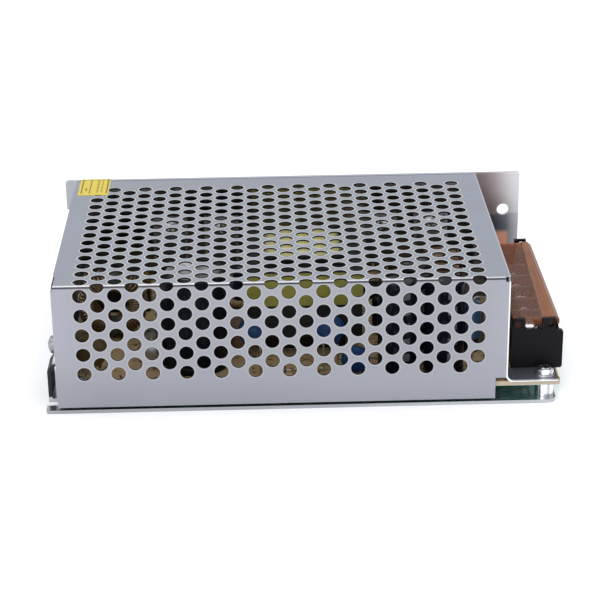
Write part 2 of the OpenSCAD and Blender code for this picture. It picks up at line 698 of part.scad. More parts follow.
module bulk_sleeve() color([0.05, 0.05, 0.06]) translate([bulk_at[0], bulk_at[1], top])
    sleeve(bulk_d, bulk_h, 2.4);

module input_choke_core() color([0.10, 0.11, 0.10])
    translate([choke_at[0], choke_at[1], choke_z]) rotate([90, 0, 0]) ring(choke_r, choke_bore_r, choke_t);

module input_choke_windings() color([0.62, 0.36, 0.16])
    translate([choke_at[0], choke_at[1], choke_z]) rotate([90, 0, 0])
        for (start = [-75, 105]) winding(choke_r, choke_bore_r, choke_t, wind_t, start, 150);

module filter_capacitor() color([0.10, 0.10, 0.11])
    box([filter_at[0] - filter_size[0] / 2, filter_at[1] - filter_size[1] / 2, top],
        [filter_at[0] + filter_size[0] / 2, filter_at[1] + filter_size[1] / 2, top + filter_size[2]]);

// Bridge rectifier: a flat body upright on four leads
module bridge_rectifier() color([0.10, 0.10, 0.11]) translate([bridge_at[0], bridge_at[1], top]) {
    difference() {
        translate([-bridge_size[0] / 2, -bridge_size[1] / 2, bridge_rise]) cube(bridge_size);
        translate([-bridge_size[0] / 2, 0, bridge_rise + bridge_size[2]]) rotate([0, 45, 0])
            cube([4, 2 * bridge_size[1], 4], center = true);
    }
    for (i = [-1.5 : 1.5]) translate([i * 5 - 0.5, -0.4, 0]) cube([1, 0.8, bridge_rise + 1]);
}

// A flat outline about the fuse's axis carried from y0 to y1
module fuse_axis(y0, y1) translate([fuse_at[0], y1, fuse_z]) rotate([90, 0, 0])
    linear_extrude(y1 - y0) children();

module fuse_glass() color([0.85, 0.90, 0.92, 0.4])
    fuse_axis(fuse_at[1] + 0.6, fuse_at[1] + fuse_l - 0.6) circle(fuse_r - 0.1);

module fuse_caps() color([0.70, 0.70, 0.70]) for (end = [0, 1]) {
    y = fuse_at[1] + end * (fuse_l - fuse_cap_l);
    difference() {
        fuse_axis(y, y + fuse_cap_l) circle(fuse_r + 0.1);
        fuse_axis(end == 0 ? y + 0.6 : y - cut, end == 0 ? y + fuse_cap_l + cut : y + fuse_cap_l - 0.6)
            circle(fuse_r - 0.05);
    }
}

// Clips: a spring C round each cap on a flat leg
module fuse_clips() color([0.74, 0.72, 0.66]) for (end = [0, 1]) {
    y = fuse_at[1] + 0.4 + end * (fuse_l - fuse_cap_l);
    fuse_axis(y, y + fuse_cap_l - 0.8) difference() {
        circle(fuse_r + 0.15 + clip_t);
        circle(fuse_r + 0.15);
        translate([-1.5, 0]) square([3, fuse_r * 2]);
    }
    box([fuse_at[0] - 1, y, top], [fuse_at[0] + 1, y + fuse_cap_l - 0.8, fuse_z - fuse_r - 0.35]);
}

// A round body on edge over two leads; rise is the height of its lower edge
module disc_part(r, t, rise) translate([0, 0, top]) {
    translate([0, 0, rise + r]) rotate([90, 0, 0]) intersection() {
        cylinder(r = r, h = t, center = true);
        sphere(sqrt(pow(r, 2) + pow(t / 4, 2)));
    }
    for (side = [-1, 1]) translate([side * r * 0.5, 0, 0]) cylinder(r = lead_r, h = rise + r * 0.5);
}

module thermistor() color([0.12, 0.18, 0.14]) translate([thermistor_at[0], thermistor_at[1], 0])
    disc_part(thermistor_r, thermistor_t, 1.5);

module disc_capacitors() color([0.10, 0.33, 0.58]) for (d = discs) translate([d[0], d[1], 0])
    disc_part(disc_d / 2, disc_t, d[2]);

// Power resistors: two lie low, and one stands on end behind the output capacitors
module power_resistors() color([0.22, 0.42, 0.55]) {
    at_points(power_at) axial(power_r, power_l, power_l + 3);
    translate([upright_at[0], upright_at[1], top]) {
        translate([0, 0, upright_z]) cylinder(r = power_r, h = power_l);
        cylinder(r = lead_r, h = upright_z + power_l + 1);
        translate([-lead_r, -lead_r, upright_z + power_l + 1 - lead_r])
            cube([power_r + 1.5 + lead_r, 2 * lead_r, 2 * lead_r]);
        translate([power_r + 1.5, 0, 0]) cylinder(r = lead_r, h = upright_z + power_l + 1 + lead_r);
    }
}

module film_capacitors() color([0.50, 0.20, 0.12]) for (f = films)
    translate([f[0] - film_size[0] / 2, f[1] - film_size[1] / 2, top]) cube(film_size);

// Power transistor in a moulded body, its metal tab against the tall wall
module tab_package() translate([0, wall_in - pad_t, top]) {
    difference() {
        translate([-transistor_w / 2, -tab_t, transistor_rise]) cube([transistor_w, tab_t, transistor_h]);
        translate([0, cut, transistor_screw_z - top]) rotate([90, 0, 0]) cylinder(r = passing_r, h = 3);
    }
    translate([-transistor_w / 2, -body_t, transistor_rise]) cube([transistor_w, body_t, transistor_body_h]);
    for (i = [-1 : 1]) translate([i * pin_pitch - 0.4, -body_t / 2 - 0.6, 0])
        cube([0.8, 0.5, transistor_rise + 1]);
}

module switch_transistors() color([0.11, 0.11, 0.12]) for (x = switch_x) translate([x, 0, 0]) tab_package();

module output_rectifiers() color([0.13, 0.13, 0.14]) for (x = rectifier_x) translate([x, 0, 0]) tab_package();

module insulating_pads() color([0.75, 0.76, 0.78]) for (x = concat(switch_x, rectifier_x))
    translate([x, wall_in, 0]) difference() {
        translate([-transistor_w / 2 - 1, -pad_t, top + transistor_rise - 1])
            cube([transistor_w + 2, pad_t, transistor_h + 2]);
        translate([0, cut, transistor_screw_z]) rotate([90, 0, 0]) cylinder(r = passing_r, h = 3);
    }

module wall_screws() color([0.82, 0.83, 0.85]) for (x = concat(switch_x, rectifier_x))
    translate([x, wall_in - pad_t - tab_t, transistor_screw_z]) rotate([90, 0, 0])
        pan_screw(head_d, head_h, screw_r, pad_t + tab_t + sheet_t);

module drive_core() color([0.10, 0.10, 0.11])
    translate([drive_at[0] - drive_core_size[0] / 2, drive_at[1] - drive_core_size[1] / 2, top]) {
        difference() {
            cube(drive_core_size);
            translate([(drive_core_size[0] - drive_window[0]) / 2, -cut,
                (drive_core_size[2] - drive_window[1]) / 2])
                cube([drive_window[0], drive_core_size[1] + 2 * cut, drive_window[1]]);
        }
        translate([(drive_core_size[0] - drive_leg) / 2, 0, 1])
            cube([drive_leg, drive_core_size[1], drive_core_size[2] - 2]);
    }

module drive_coil() color([0.80, 0.70, 0.20])
    translate([drive_at[0], drive_at[1], top + drive_core_size[2] / 2]) difference() {
        cube([drive_window[0] - 0.4, drive_window[0] - 1, drive_window[1] - 0.2], center = true);
        cube([drive_leg + 0.2, drive_core_size[1] + 0.2, drive_window[1] + 1], center = true);
    }

// Main transformer: the core lies flat, and its middle leg runs along Y through the coil
module main_core() color([0.08, 0.08, 0.09]) translate([core_at[0], core_at[1], core_z]) difference() {
    translate([-core_w / 2, -core_l / 2, 0]) cube([core_w, core_l, core_t]);
    for (side = [-1, 1]) translate([side * (core_leg + window_w) / 2 - window_w / 2, -window_l / 2, -cut])
        cube([window_w, window_l, core_t + 2 * cut]);
}

// Former: a square tube with two flanges, on two rails that stand on the board
module main_bobbin() color([0.07, 0.07, 0.07]) translate([core_at[0], core_at[1], top]) {
    difference() {
        union() {
            for (side = [-1, 1]) translate([-coil_w / 2,
                side * (window_l / 2 - fit - flange_t / 2) - flange_t / 2, coil_low])
                cube([coil_w, flange_t, coil_high - coil_low]);
            translate([-coil_hole_w / 2 - bobbin_t, -window_l / 2 + 0.2, core_rise - bobbin_t - 0.05])
                cube([coil_hole_w + 2 * bobbin_t, window_l - 0.4, core_t + 2 * bobbin_t + 0.1]);
        }
        translate([-coil_hole_w / 2, -window_l, core_rise - fit / 2])
            cube([coil_hole_w, 2 * window_l, core_t + fit]);
    }
    for (side = [-1, 1]) translate([-coil_w / 2, side * (window_l / 2 - fit - rail_w / 2) - rail_w / 2, 0])
        cube([coil_w, rail_w, coil_low]);
}

module main_coil() color([0.86, 0.76, 0.22]) translate([core_at[0], core_at[1], top]) difference() {
    translate([-coil_w / 2 + 0.2, -window_l / 2 + flange_t + 0.15, coil_low + 0.1])
        cube([coil_w - 0.4, window_l - 2 * flange_t - 0.3, coil_high - coil_low - 0.3]);
    translate([-coil_hole_w / 2 - bobbin_t - 0.05, -window_l, core_rise - bobbin_t - 0.1])
        cube([coil_hole_w + 2 * bobbin_t + 0.1, 2 * window_l, core_t + 2 * bobbin_t + 0.2]);
}

module main_core_tape() color([0.66, 0.64, 0.18])
    translate([core_at[0], core_at[1], core_z + core_t - tape_w - 0.2]) linear_extrude(tape_w) difference() {
        square([core_w + 2 * tape_t + 0.04, core_l + 2 * tape_t + 0.04], center = true);
        square([core_w + 0.04, core_l + 0.04], center = true);
    }

module output_choke_core() color([0.55, 0.52, 0.30])
    translate([out_choke_at[0], out_choke_at[1], out_choke_z]) rotate([0, 90, 0])
        ring(out_choke_r, out_choke_bore_r, out_choke_t);

module output_choke_winding() color([0.60, 0.25, 0.14])
    translate([out_choke_at[0], out_choke_at[1], out_choke_z]) rotate([0, 90, 0])
        winding(out_choke_r, out_choke_bore_r, out_choke_t, wind_t, 12, 336);

module output_capacitors() color([0.76, 0.77, 0.78]) at_points(output_at) translate([0, 0, top])
    difference() {
        cylinder(d = output_d - 2 * sleeve_t - 0.04, h = output_h);
        translate([0, 0, output_h]) cross_recess(output_d * 0.45, 0.4);
    }

module output_sleeves() color([0.06, 0.06, 0.08]) at_points(output_at) translate([0, 0, top])
    sleeve(output_d, output_h, 1.6);

module small_capacitors() color([0.76, 0.77, 0.78]) at_points(smalls) translate([0, 0, top])
    cylinder(d = small_d - 2 * sleeve_t - 0.04, h = small_h);

module small_sleeves() color([0.08, 0.08, 0.12]) at_points(smalls) translate([0, 0, top])
    sleeve(small_d, small_h, 0.9);

module control_chip() color([0.10, 0.10, 0.11]) translate([chip_at[0], chip_at[1], top]) {
    translate([-chip_size[0] / 2, -chip_size[1] / 2, chip_rise]) cube(chip_size);
    for (i = [0 : 7], side = [-1, 1])
        translate([(i - 3.5) * pin_pitch - 0.3, side * (chip_size[1] / 2 + 0.3) - 0.4, 0])
            cube([0.6, 0.8, chip_rise + 1.5]);
}

module small_resistors() color([0.76, 0.64, 0.44]) at_points(resistors) axial(1.2, 6.4, 9.6);

module signal_diodes() color([0.12, 0.12, 0.13]) at_points(diodes) axial(1.35, 5, 9);

module trimmer_body() color([0.16, 0.34, 0.62]) translate([trimmer_at[0], trimmer_at[1], top]) difference() {
    translate([-trimmer_size[0] / 2, -trimmer_size[1] / 2, 0]) cube(trimmer_size);
    translate([0, 0, trimmer_size[2] - rotor_h + 0.4]) cylinder(r = rotor_r + fit, h = rotor_h + cut);
}

module trimmer_rotor() color([0.92, 0.92, 0.88])
    translate([trimmer_at[0], trimmer_at[1], top + trimmer_size[2] + 0.4]) difference() {
        translate([0, 0, -rotor_h]) cylinder(r = rotor_r, h = rotor_h);
        translate([-rotor_r * 0.75, -0.4, -rotor_h * 0.6]) cube([rotor_r * 1.5, 0.8, rotor_h]);
        translate([-0.4, -rotor_r * 0.4, -rotor_h * 0.6]) cube([0.8, rotor_r * 1.15, rotor_h]);
    }

// Indicator lamp: a round-topped lens with a foot flange
module lamp() color([0.35, 0.80, 0.35, 0.8]) translate([lamp_at[0], lamp_at[1], top]) {
    cylinder(r = lamp_r + 0.4, h = 1);
    cylinder(r = lamp_r, h = lamp_h - lamp_r);
    translate([0, 0, lamp_h - lamp_r]) sphere(lamp_r);
}

chassis();
mesh_cover();
seal_label();
circuit_board();
standoffs();
board_screws();
foot_screw();
flat_washer();
spring_washer();
tab_screw();
terminal_block();
terminal_plates();
terminal_clamps();
terminal_screws();
terminal_flap();
bulk_capacitor();
bulk_sleeve();
input_choke_core();
input_choke_windings();
filter_capacitor();
bridge_rectifier();
fuse_glass();
fuse_caps();
fuse_clips();
thermistor();
disc_capacitors();
power_resistors();
film_capacitors();
switch_transistors();
output_rectifiers();
insulating_pads();
wall_screws();
drive_core();
drive_coil();
main_core();
main_bobbin();
main_coil();
main_core_tape();
output_choke_core();
output_choke_winding();
output_capacitors();
output_sleeves();
small_capacitors();
small_sleeves();
control_chip();
small_resistors();
signal_diodes();
trimmer_body();
trimmer_rotor();
lamp();
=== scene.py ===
import json

import bmesh
import bpy
import numpy as np
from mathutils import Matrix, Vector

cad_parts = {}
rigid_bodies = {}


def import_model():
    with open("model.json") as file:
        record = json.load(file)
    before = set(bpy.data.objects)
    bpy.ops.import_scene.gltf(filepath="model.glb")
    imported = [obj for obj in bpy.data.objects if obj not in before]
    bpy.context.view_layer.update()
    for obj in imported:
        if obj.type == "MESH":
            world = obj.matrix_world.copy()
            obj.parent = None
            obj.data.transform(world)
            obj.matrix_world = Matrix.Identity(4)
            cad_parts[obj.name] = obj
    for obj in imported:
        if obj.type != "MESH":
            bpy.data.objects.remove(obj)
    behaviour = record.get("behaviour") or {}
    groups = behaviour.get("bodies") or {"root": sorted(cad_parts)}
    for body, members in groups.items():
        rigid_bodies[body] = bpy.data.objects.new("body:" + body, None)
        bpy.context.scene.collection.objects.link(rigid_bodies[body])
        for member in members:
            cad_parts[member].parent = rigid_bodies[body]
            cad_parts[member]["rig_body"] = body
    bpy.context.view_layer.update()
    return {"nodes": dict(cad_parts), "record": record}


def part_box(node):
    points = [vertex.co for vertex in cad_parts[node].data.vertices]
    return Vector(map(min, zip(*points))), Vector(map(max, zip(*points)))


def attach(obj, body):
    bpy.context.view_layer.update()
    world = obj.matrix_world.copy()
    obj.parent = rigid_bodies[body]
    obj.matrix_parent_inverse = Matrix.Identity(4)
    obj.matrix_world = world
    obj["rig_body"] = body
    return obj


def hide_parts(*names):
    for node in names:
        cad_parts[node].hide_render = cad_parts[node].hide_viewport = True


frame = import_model()
mm = 0.001
tau = 2 * np.pi

cameraView = dict(
    place=(-0.01153, -0.5548, 0.25656),
    turn=(66.566, 0.684, -1.57),  # degrees about X, Y and Z
    lens=109.3,
)
studio = dict(
    skyColor=(0.95, 0.962, 1.0), skyStrength=0.85,
    lights=dict(topLight=((0.15, -0.1, 1.0), 0.9, 4.2),  # place, size and power
                frontLight=((-0.5, -1.0, 0.55), 0.7, 3.4)),
    floorColor=(0.97, 0.97, 0.97), floorGrain=0.98,
    floorGlow=0.12, floorGlowColor=(0.97, 0.98, 1.0),
    floorSide=3.0,
    floorHeight=0.00005,  # a hair inside the base, whose underside then shows from below
)


def addObject(name, data):
    item = bpy.data.objects.new(name, data)
    bpy.context.collection.objects.link(item)
    return item


def setCamera():
    data = bpy.data.cameras.new("camera")
    data.lens = cameraView["lens"]
    data.clip_start = 0.01
    camera = addObject("camera", data)
    camera.location = cameraView["place"]
    camera.rotation_euler = np.radians(cameraView["turn"])
    bpy.context.scene.camera = camera


def areaLight(name, place, size, power):
    data = bpy.data.lights.new(name, "AREA")
    data.shape = "SQUARE"
    data.size = size
    data.energy = power
    light = addObject(name, data)
    light.location = place
    light.rotation_euler = light.location.to_track_quat("Z", "Y").to_euler()  # it shines at the origin


def setStudio():
    world = bpy.data.worlds.new("sky")
    world.use_nodes = True
    sky = world.node_tree.nodes["Background"]
    sky.inputs["Color"].default_value = (*studio["skyColor"], 1)
    sky.inputs["Strength"].default_value = studio["skyStrength"]
    bpy.context.scene.world = world
    bpy.context.scene.view_settings.view_transform = "Standard"
    for name, facts in studio["lights"].items():
        areaLight(name, *facts)
    side, height = studio["floorSide"], studio["floorHeight"]
    ends = [(-side, -side), (side, -side), (side, side), (-side, side)]
    floorMesh = bpy.data.meshes.new("floor")
    floorMesh.from_pydata([(*end, height) for end in ends], [], [(0, 1, 2, 3)])
    floor = addObject("floor", floorMesh)
    paper = Finish("floorPaper")
    color = studio["floorColor"]
    tone = paper.mixColor(paper.noise(60, 3), color, scaled(color, studio["floorGrain"]))
    paper.surface(tone, 0.9, Emission_Color=studio["floorGlowColor"], Emission_Strength=studio["floorGlow"])
    floorMesh.materials.append(paper.material)


class Wire:
    # A node's output that joins in arithmetic: each operator adds one Math node
    def __init__(self, finish, socket):
        self.finish = finish
        self.socket = socket

    def math(self, operation, *values):
        return self.finish.add("Math", {"operation": operation}, dict(enumerate(values)))

    def __add__(self, other): return self.math("ADD", self, other)
    def __radd__(self, other): return self.math("ADD", other, self)
    def __sub__(self, other): return self.math("SUBTRACT", self, other)
    def __rsub__(self, other): return self.math("SUBTRACT", other, self)
    def __mul__(self, other): return self.math("MULTIPLY", self, other)
    def __rmul__(self, other): return self.math("MULTIPLY", other, self)
    def minimum(self, other): return self.math("MINIMUM", self, other)
    def wrap(self, low, high): return self.math("WRAP", self, high, low)
    def absolute(self): return self.math("ABSOLUTE", self)
    def root(self): return self.math("SQRT", self)
    def angle(self, other): return self.math("ARCTAN2", self, other)

    def maximum(self, *others):
        highest = self
        for other in others:
            highest = self.math("MAXIMUM", highest, other)
        return highest

    def step(self, start, end):
        # 0 below start, 1 above end and smooth between
        return self.finish.add("MapRange", {"interpolation_type": "SMOOTHSTEP"},
                               {"Value": self, "From Min": start, "From Max": end})

    def under(self, start, end):
        return 1 - self.step(start, end)

    def within(self, riseStart, riseEnd, fallStart, fallEnd):
        # Rises from 0 to 1 and falls back further on
        return self.step(riseStart, riseEnd) * self.under(fallStart, fallEnd)


class Finish:
    # A material: its nodes are added with add(), and surface() feeds its shader
    def __init__(self, name):
        self.material = bpy.data.materials.new(name)
        self.material.use_nodes = True
        self.tree = self.material.node_tree
        self.shader = self.tree.nodes["Principled BSDF"]
        self.place = None

    def add(self, kind, settings=None, inputs=None, output=0):
        node = self.tree.nodes.new("ShaderNode" + kind)
        for name, value in (settings or {}).items():
            setattr(node, name, value)
        for name, value in (inputs or {}).items():
            self.feed(node.inputs[name], value)
        return Wire(self, node.outputs[output])

    def feed(self, socket, value):
        if isinstance(value, Wire):
            self.tree.links.new(value.socket, socket)
        elif isinstance(value, tuple) and socket.type == "RGBA" and len(value) == 3:
            socket.default_value = (*value, 1)
        else:
            socket.default_value = value

    def coords(self):
        if self.place is None:
            self.place = self.add("TexCoord", output="Object")
        return self.place

    def axes(self):
        # The three object coordinates in millimetres
        inMm = self.add("VectorMath", {"operation": "SCALE"}, {0: self.coords(), "Scale": 1 / mm})
        split = self.add("SeparateXYZ", None, {0: inMm}).socket.node
        return [Wire(self, socket) for socket in split.outputs]

    def on(self, node):
        # The object coordinates and the corners of a node's box, in millimetres
        return *self.axes(), *[corner / mm for corner in corners(node)]

    def noise(self, scale, detail=2, stretch=(1, 1, 1), roughness=0.5):
        # Cloudy noise with scale in cells per metre along each axis, times stretch
        place = self.add("VectorMath", {"operation": "MULTIPLY"}, {0: self.coords(), 1: stretch})
        return self.add("TexNoise", None, {"Vector": place, "Scale": scale, "Detail": detail,
                                           "Roughness": roughness})

    def cellBorders(self, scale, randomness):
        # Distance to the nearest border in a patchwork of cells
        return self.add("TexVoronoi", {"feature": "DISTANCE_TO_EDGE"},
                        {"Vector": self.coords(), "Scale": scale, "Randomness": randomness})

    def mixColor(self, factor, first, second):
        return self.add("Mix", {"data_type": "RGBA"}, {0: factor, 6: first, 7: second}, 2)

    def layers(self, base, tones, **masks):
        # Each mask lays the tone of its name over what is there
        for name, mask in masks.items():
            base = self.mixColor(mask, base, tones[name])
        return base

    def bump(self, height, strength=0.5, distance=0.0001):
        return self.add("Bump", None, {"Height": height, "Strength": strength, "Distance": distance})

    def surface(self, color, roughness, metallic=0.0, normal=None, **others):
        self.feed(self.shader.inputs["Base Color"], color)
        self.feed(self.shader.inputs["Roughness"], roughness)
        self.feed(self.shader.inputs["Metallic"], metallic)
        if normal is not None:
            self.feed(self.shader.inputs["Normal"], normal)
        for name, value in others.items():
            self.feed(self.shader.inputs[name.replace("_", " ")], value)


def scaled(color, share):
    return tuple(share * part for part in color)


def gridPart(points, wrapU=False, wrapV=False):
    # A surface over a grid of points n by m: each cell of four neighbours is one face
    n, m = points.shape[:2]
    i, j = np.meshgrid(np.arange(n if wrapU else n - 1), np.arange(m if wrapV else m - 1), indexing="ij")
    nextI, nextJ = (i + 1) % n, (j + 1) % m
    faces = np.stack([i * m + j, nextI * m + j, nextI * m + nextJ, i * m + nextJ], -1).reshape(-1, 4)
    return points.reshape(-1, 3), faces


def signedPower(value, power):
    # A power of the value's size that keeps its sign
    return np.sign(value) * np.abs(value) ** power


def wholeTurn(sides):
    return np.arange(sides) * tau / sides


def circle(first, second, turn):
    # Points at a distance of 1 in the plane of two unit vectors, one for each angle
    return np.cos(turn)[:, None] * first + np.sin(turn)[:, None] * second


def basis(axis):
    # Two unit vectors across an axis
    axis = np.asarray(axis, float) / np.linalg.norm(axis)
    helper = np.array([0.0, 0, 1]) if abs(axis[2]) < 0.9 else np.array([1.0, 0, 0])
    first = np.cross(helper, axis)
    first /= np.linalg.norm(first)
    return first, np.cross(axis, first), axis


def revolve(profile, centre, axis=(0, 0, 1), sides=48):
    # Each profile point (radius, height) turned about the axis through centre
    first, second, along = basis(axis)
    profile = np.asarray(profile, float)
    ring = circle(first, second, wholeTurn(sides))
    points = (np.asarray(centre) + profile[None, :, 0, None] * ring[:, None]
              + profile[None, :, 1, None] * along)
    return gridPart(points, wrapU=True)


def tube(path, radius, across=None, sides=8):
    # A circle carried along a path, across its tangent: its radius shrinks to nothing at the
    # two added end points, which closes them
    path = np.asarray(path, float)
    tangent = np.gradient(path, axis=0)
    tangent /= np.linalg.norm(tangent, axis=1)[:, None]
    if across is None:
        across = basis(path[-1] - path[0])[0]
    second = np.cross(tangent, across)
    second /= np.linalg.norm(second, axis=1)[:, None]
    first = np.cross(second, tangent)
    path, first, second = [np.concatenate([v[:1], v, v[-1:]]) for v in (path, first, second)]
    radii = np.full(len(path), radius)
    radii[[0, -1]] = 0
    ring = circle(first[:, None], second[:, None], wholeTurn(sides))
    return gridPart(path[:, None] + radii[:, None, None] * ring, wrapV=True)


def pin(x, y, height, radius):
    # A straight lead that stands on the board
    return tube(np.linspace((x, y, boardTop()), (x, y, boardTop() + height), 4), radius)


def roundPath(stops, bend, steps=6):
    # Straight runs between the stops, rounded at each inner one by a quadratic curve that
    # starts at the distance of the bend and has the stop as its pull
    stops = np.asarray(stops, float)
    points = [stops[:1]]
    t = np.linspace(0, 1, steps)[:, None]
    for before, stop, after in zip(stops[:-2], stops[1:-1], stops[2:]):
        inward = stop + (before - stop) * min(bend / np.linalg.norm(before - stop), 0.45)
        outward = stop + (after - stop) * min(bend / np.linalg.norm(after - stop), 0.45)
        points.append((1 - t) ** 2 * inward + 2 * t * (1 - t) * stop + t ** 2 * outward)
    points.append(stops[-1:])
    return np.concatenate(points)


def pillow(low, high, power, steps=28):
    # A superellipsoid: signed powers of sine and cosine give a block with round edges
    u = np.linspace(-np.pi / 2, np.pi / 2, steps)[:, None]
    v = np.arange(2 * steps)[None] * np.pi / steps
    cosU, sinU, cosV, sinV = [signedPower(g, 2 / power) for g in (np.cos(u), np.sin(u), np.cos(v), np.sin(v))]
    points = np.stack([cosU * cosV, cosU * sinV, sinU * np.ones_like(v)], -1)
    return gridPart((low + high) / 2 + points * (high - low) / 2, wrapV=True)


def addPiece(name, parts, finish, nodes=(), slot=None, sharp=40):
    # One object from parts of (points, faces), which stands for the given nodes
    verts, faces, count = [], [], 0
    for points, cells in parts:
        verts.append(points)
        faces += (cells + count).tolist()
        count += len(points)
    mesh = bpy.data.meshes.new(name)
    mesh.from_pydata(np.concatenate(verts).tolist(), [], faces)
    work = bmesh.new()
    work.from_mesh(mesh)
    bmesh.ops.remove_doubles(work, verts=work.verts, dist=1e-7)
    bmesh.ops.dissolve_degenerate(work, edges=work.edges, dist=1e-8)
    bmesh.ops.recalc_face_normals(work, faces=work.faces)
    work.to_mesh(mesh)
    work.free()
    dress(name, mesh, finish, "case", nodes, slot, sharp)


def softCopy(node, finish, width):
    # A node's own shape with its edges eased by a width in millimetres
    mesh = frame["nodes"][node].data.copy()
    work = bmesh.new()
    work.from_mesh(mesh)
    bmesh.ops.remove_doubles(work, verts=work.verts, dist=1e-6)
    bmesh.ops.dissolve_limit(work, angle_limit=np.radians(0.4), verts=work.verts, edges=work.edges)
    work.to_mesh(mesh)
    work.free()
    if "custom_normal" in mesh.attributes:
        mesh.attributes.remove(mesh.attributes["custom_normal"])
    piece = dress(node + "_eased", mesh, finish, frame["nodes"][node]["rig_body"], [node])
    rounding = piece.modifiers.new("edges", "BEVEL")
    rounding.width = width * mm
    rounding.segments = 2
    rounding.limit_method = "ANGLE"
    rounding.angle_limit = np.radians(30)
    rounding.harden_normals = True


def softCopies(pieces):
    # Each node's finish and the width of its eased edges in millimetres
    for node, (finish, width) in pieces.items():
        softCopy(node, finish, width)


def dress(name, mesh, finish, body, nodes, slot=None, sharp=40):
    # The object of a mesh: smooth apart from its sharp edges, on its body and with its finish
    mesh.polygons.foreach_set("use_smooth", np.ones(len(mesh.polygons), bool))
    mesh.set_sharp_from_angle(angle=np.radians(sharp))
    piece = addObject(name, mesh)
    mesh.materials.clear()
    mesh.materials.append(finish.material)
    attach(piece, body)
    if nodes:
        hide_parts(*nodes)
    slot or slotOf(nodes[0])
    return piece


def slotOf(node):
    return next(part["material_slot"] for part in frame["record"]["subparts"] if part["node"] == node)


def paint(node, finish):
    # A node that is shown as it is gets its finish
    materials = frame["nodes"][node].data.materials
    materials.clear()
    materials.append(finish.material)


def corners(node):
    low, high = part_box(node)
    return np.array(low), np.array(high)


def boardTop():
    return corners("circuit_board")[1][2]


def solids(node):
    # The boxes of a node's separate solids: corners that share a face take their lowest label
    # until nothing changes
    mesh = frame["nodes"][node].data
    points = np.empty(len(mesh.vertices) * 3)
    mesh.vertices.foreach_get("co", points)
    points = points.reshape(-1, 3)
    loops = np.empty(len(mesh.loops), int)
    mesh.loops.foreach_get("vertex_index", loops)
    _, same = np.unique(np.round(points / 2e-6), axis=0, return_inverse=True)
    faces = same.reshape(-1)[loops].reshape(-1, 3)
    label = np.arange(same.max() + 1)
    while True:
        lowest = label[faces].min(1)
        fresh = label.copy()
        for k in range(3):
            np.minimum.at(fresh, faces[:, k], lowest)
        fresh = fresh[fresh]
        if (fresh == label).all():
            break
        label = fresh
    owner = label[same.reshape(-1)]
    boxes = [(points[owner == k].min(0), points[owner == k].max(0)) for k in np.unique(owner)]
    return sorted(boxes, key=lambda box: tuple(np.round(box[0], 5)))


platings = dict(  # tone and roughness
    platedSteel=((0.78, 0.79, 0.81), 0.16),
    springSteel=((0.56, 0.57, 0.6), 0.24),
    tabScrewPlate=((0.34, 0.35, 0.37), 0.3),
    headPlate=((0.96, 0.96, 0.97), 0.07),
    tinPlate=((0.66, 0.62, 0.54), 0.28),
    fusePlate=((0.6, 0.6, 0.62), 0.3),
    solder=((0.62, 0.63, 0.65), 0.2),
    canMetal=((0.7, 0.71, 0.73), 0.26),
    # The darker can metal below is painted shade, for cans that stand deep in the case
    dullCan=((0.17, 0.175, 0.19), 0.34),
)


def brightMetal(name):
    tint, rough = platings[name]
    f = Finish(name)
    grain = f.noise(900, 3)
    specks = f.noise(4200, 2)
    base = f.mixColor(grain, tint, scaled(tint, 0.86))
    f.surface(base, rough + grain * 0.16, 1.0, f.bump(specks, 0.12, 0.00002))
    return f


def mouldedPlastic(name, color, rough, grainSize=2600, bump=0.12, gloss=0.5):
    # Moulded plastic: a fine grain and slow changes of tone
    f = Finish(name)
    grain = f.noise(grainSize, 3)
    base = f.mixColor(f.noise(60, 2), color, scaled(color, 0.78))
    f.surface(base, rough + grain * 0.14, 0.0, f.bump(grain, bump, 0.00004), Specular_IOR_Level=gloss)
    return f


def clearPlastic(name, color, rough, transmission, ior=1.5):
    f = Finish(name)
    smears = f.noise(300, 2)
    f.surface(f.mixColor(smears, color, scaled(color, 0.94)), rough + smears * 0.05, 0.0,
              Transmission_Weight=transmission, IOR=ior)
    return f


def ferriteFinish(name, color):
    f = Finish(name)
    pores = f.noise(2200, 4)
    base = f.mixColor(f.noise(120, 3), color, scaled(color, 2.2))
    f.surface(base, 0.42 + pores * 0.2, 0.0, f.bump(pores, 0.3, 0.00005), Specular_IOR_Level=0.25)
    return f


plated = brightMetal("platedSteel")
tinned = brightMetal("tinPlate")
print("shared finishes made")

cover = dict(  # in mm
    footLength=16, sheet=0.5,
    columnPitch=5.27, rowPitch=6.52,
    firstColumn=8.7,  # from the closed end to the middle of the first column
    columns=24,
    holeRadius=2.15, rimWidth=0.62,
    evenRows=12.5, oddRows=13,  # last row on the top in even and in odd columns
    sideRows=4.5,  # last row on the side in even columns
    foldLight=0.2, foldDark=0.62,  # where the painted highlight and the painted shade line below the fold end
    edgeLight=0.34,  # width of the painted highlight along a cut edge
    nick=(1.15, 0.15),  # gap in the fold at the foot, painted black as shade, from the end of the sheet
    slit=(0.05, 0.7),  # gap in the fold at the closed end, painted black as shade
)
# Among these tones, painted light and shade: the top lighter and bluer than the side, lighter still toward
# the closed end; the side darker toward its foot and the closed end; highlights on the rims, the fold, the
# cut edge and the foot's edge; shade in the bores, below the fold and on the foot; black in the fold's gaps
coverTones = dict(
    topStreaks=((0.372, 0.402, 0.455), (0.412, 0.44, 0.492)), topPale=(0.435, 0.465, 0.52),
    sideStreaks=((0.372, 0.378, 0.425), (0.392, 0.398, 0.442)),
    sideFoot=((0.305, 0.312, 0.352), (0.345, 0.352, 0.392)), amongHoles=(0.3, 0.3, 0.325),
    clouds=(0.375, 0.385, 0.428),
    rim=(0.78, 0.77, 0.75), bore=(0.035, 0.035, 0.04),
    foldDark=(0.035, 0.035, 0.04), foldLight=(0.92, 0.92, 0.94),
    edge=(0.72, 0.74, 0.78), gap=(0.004, 0.004, 0.004),
    footEdge=(0.3, 0.31, 0.33), footFlat=(0.1, 0.11, 0.13), footLight=(0.95, 0.95, 0.96),
)


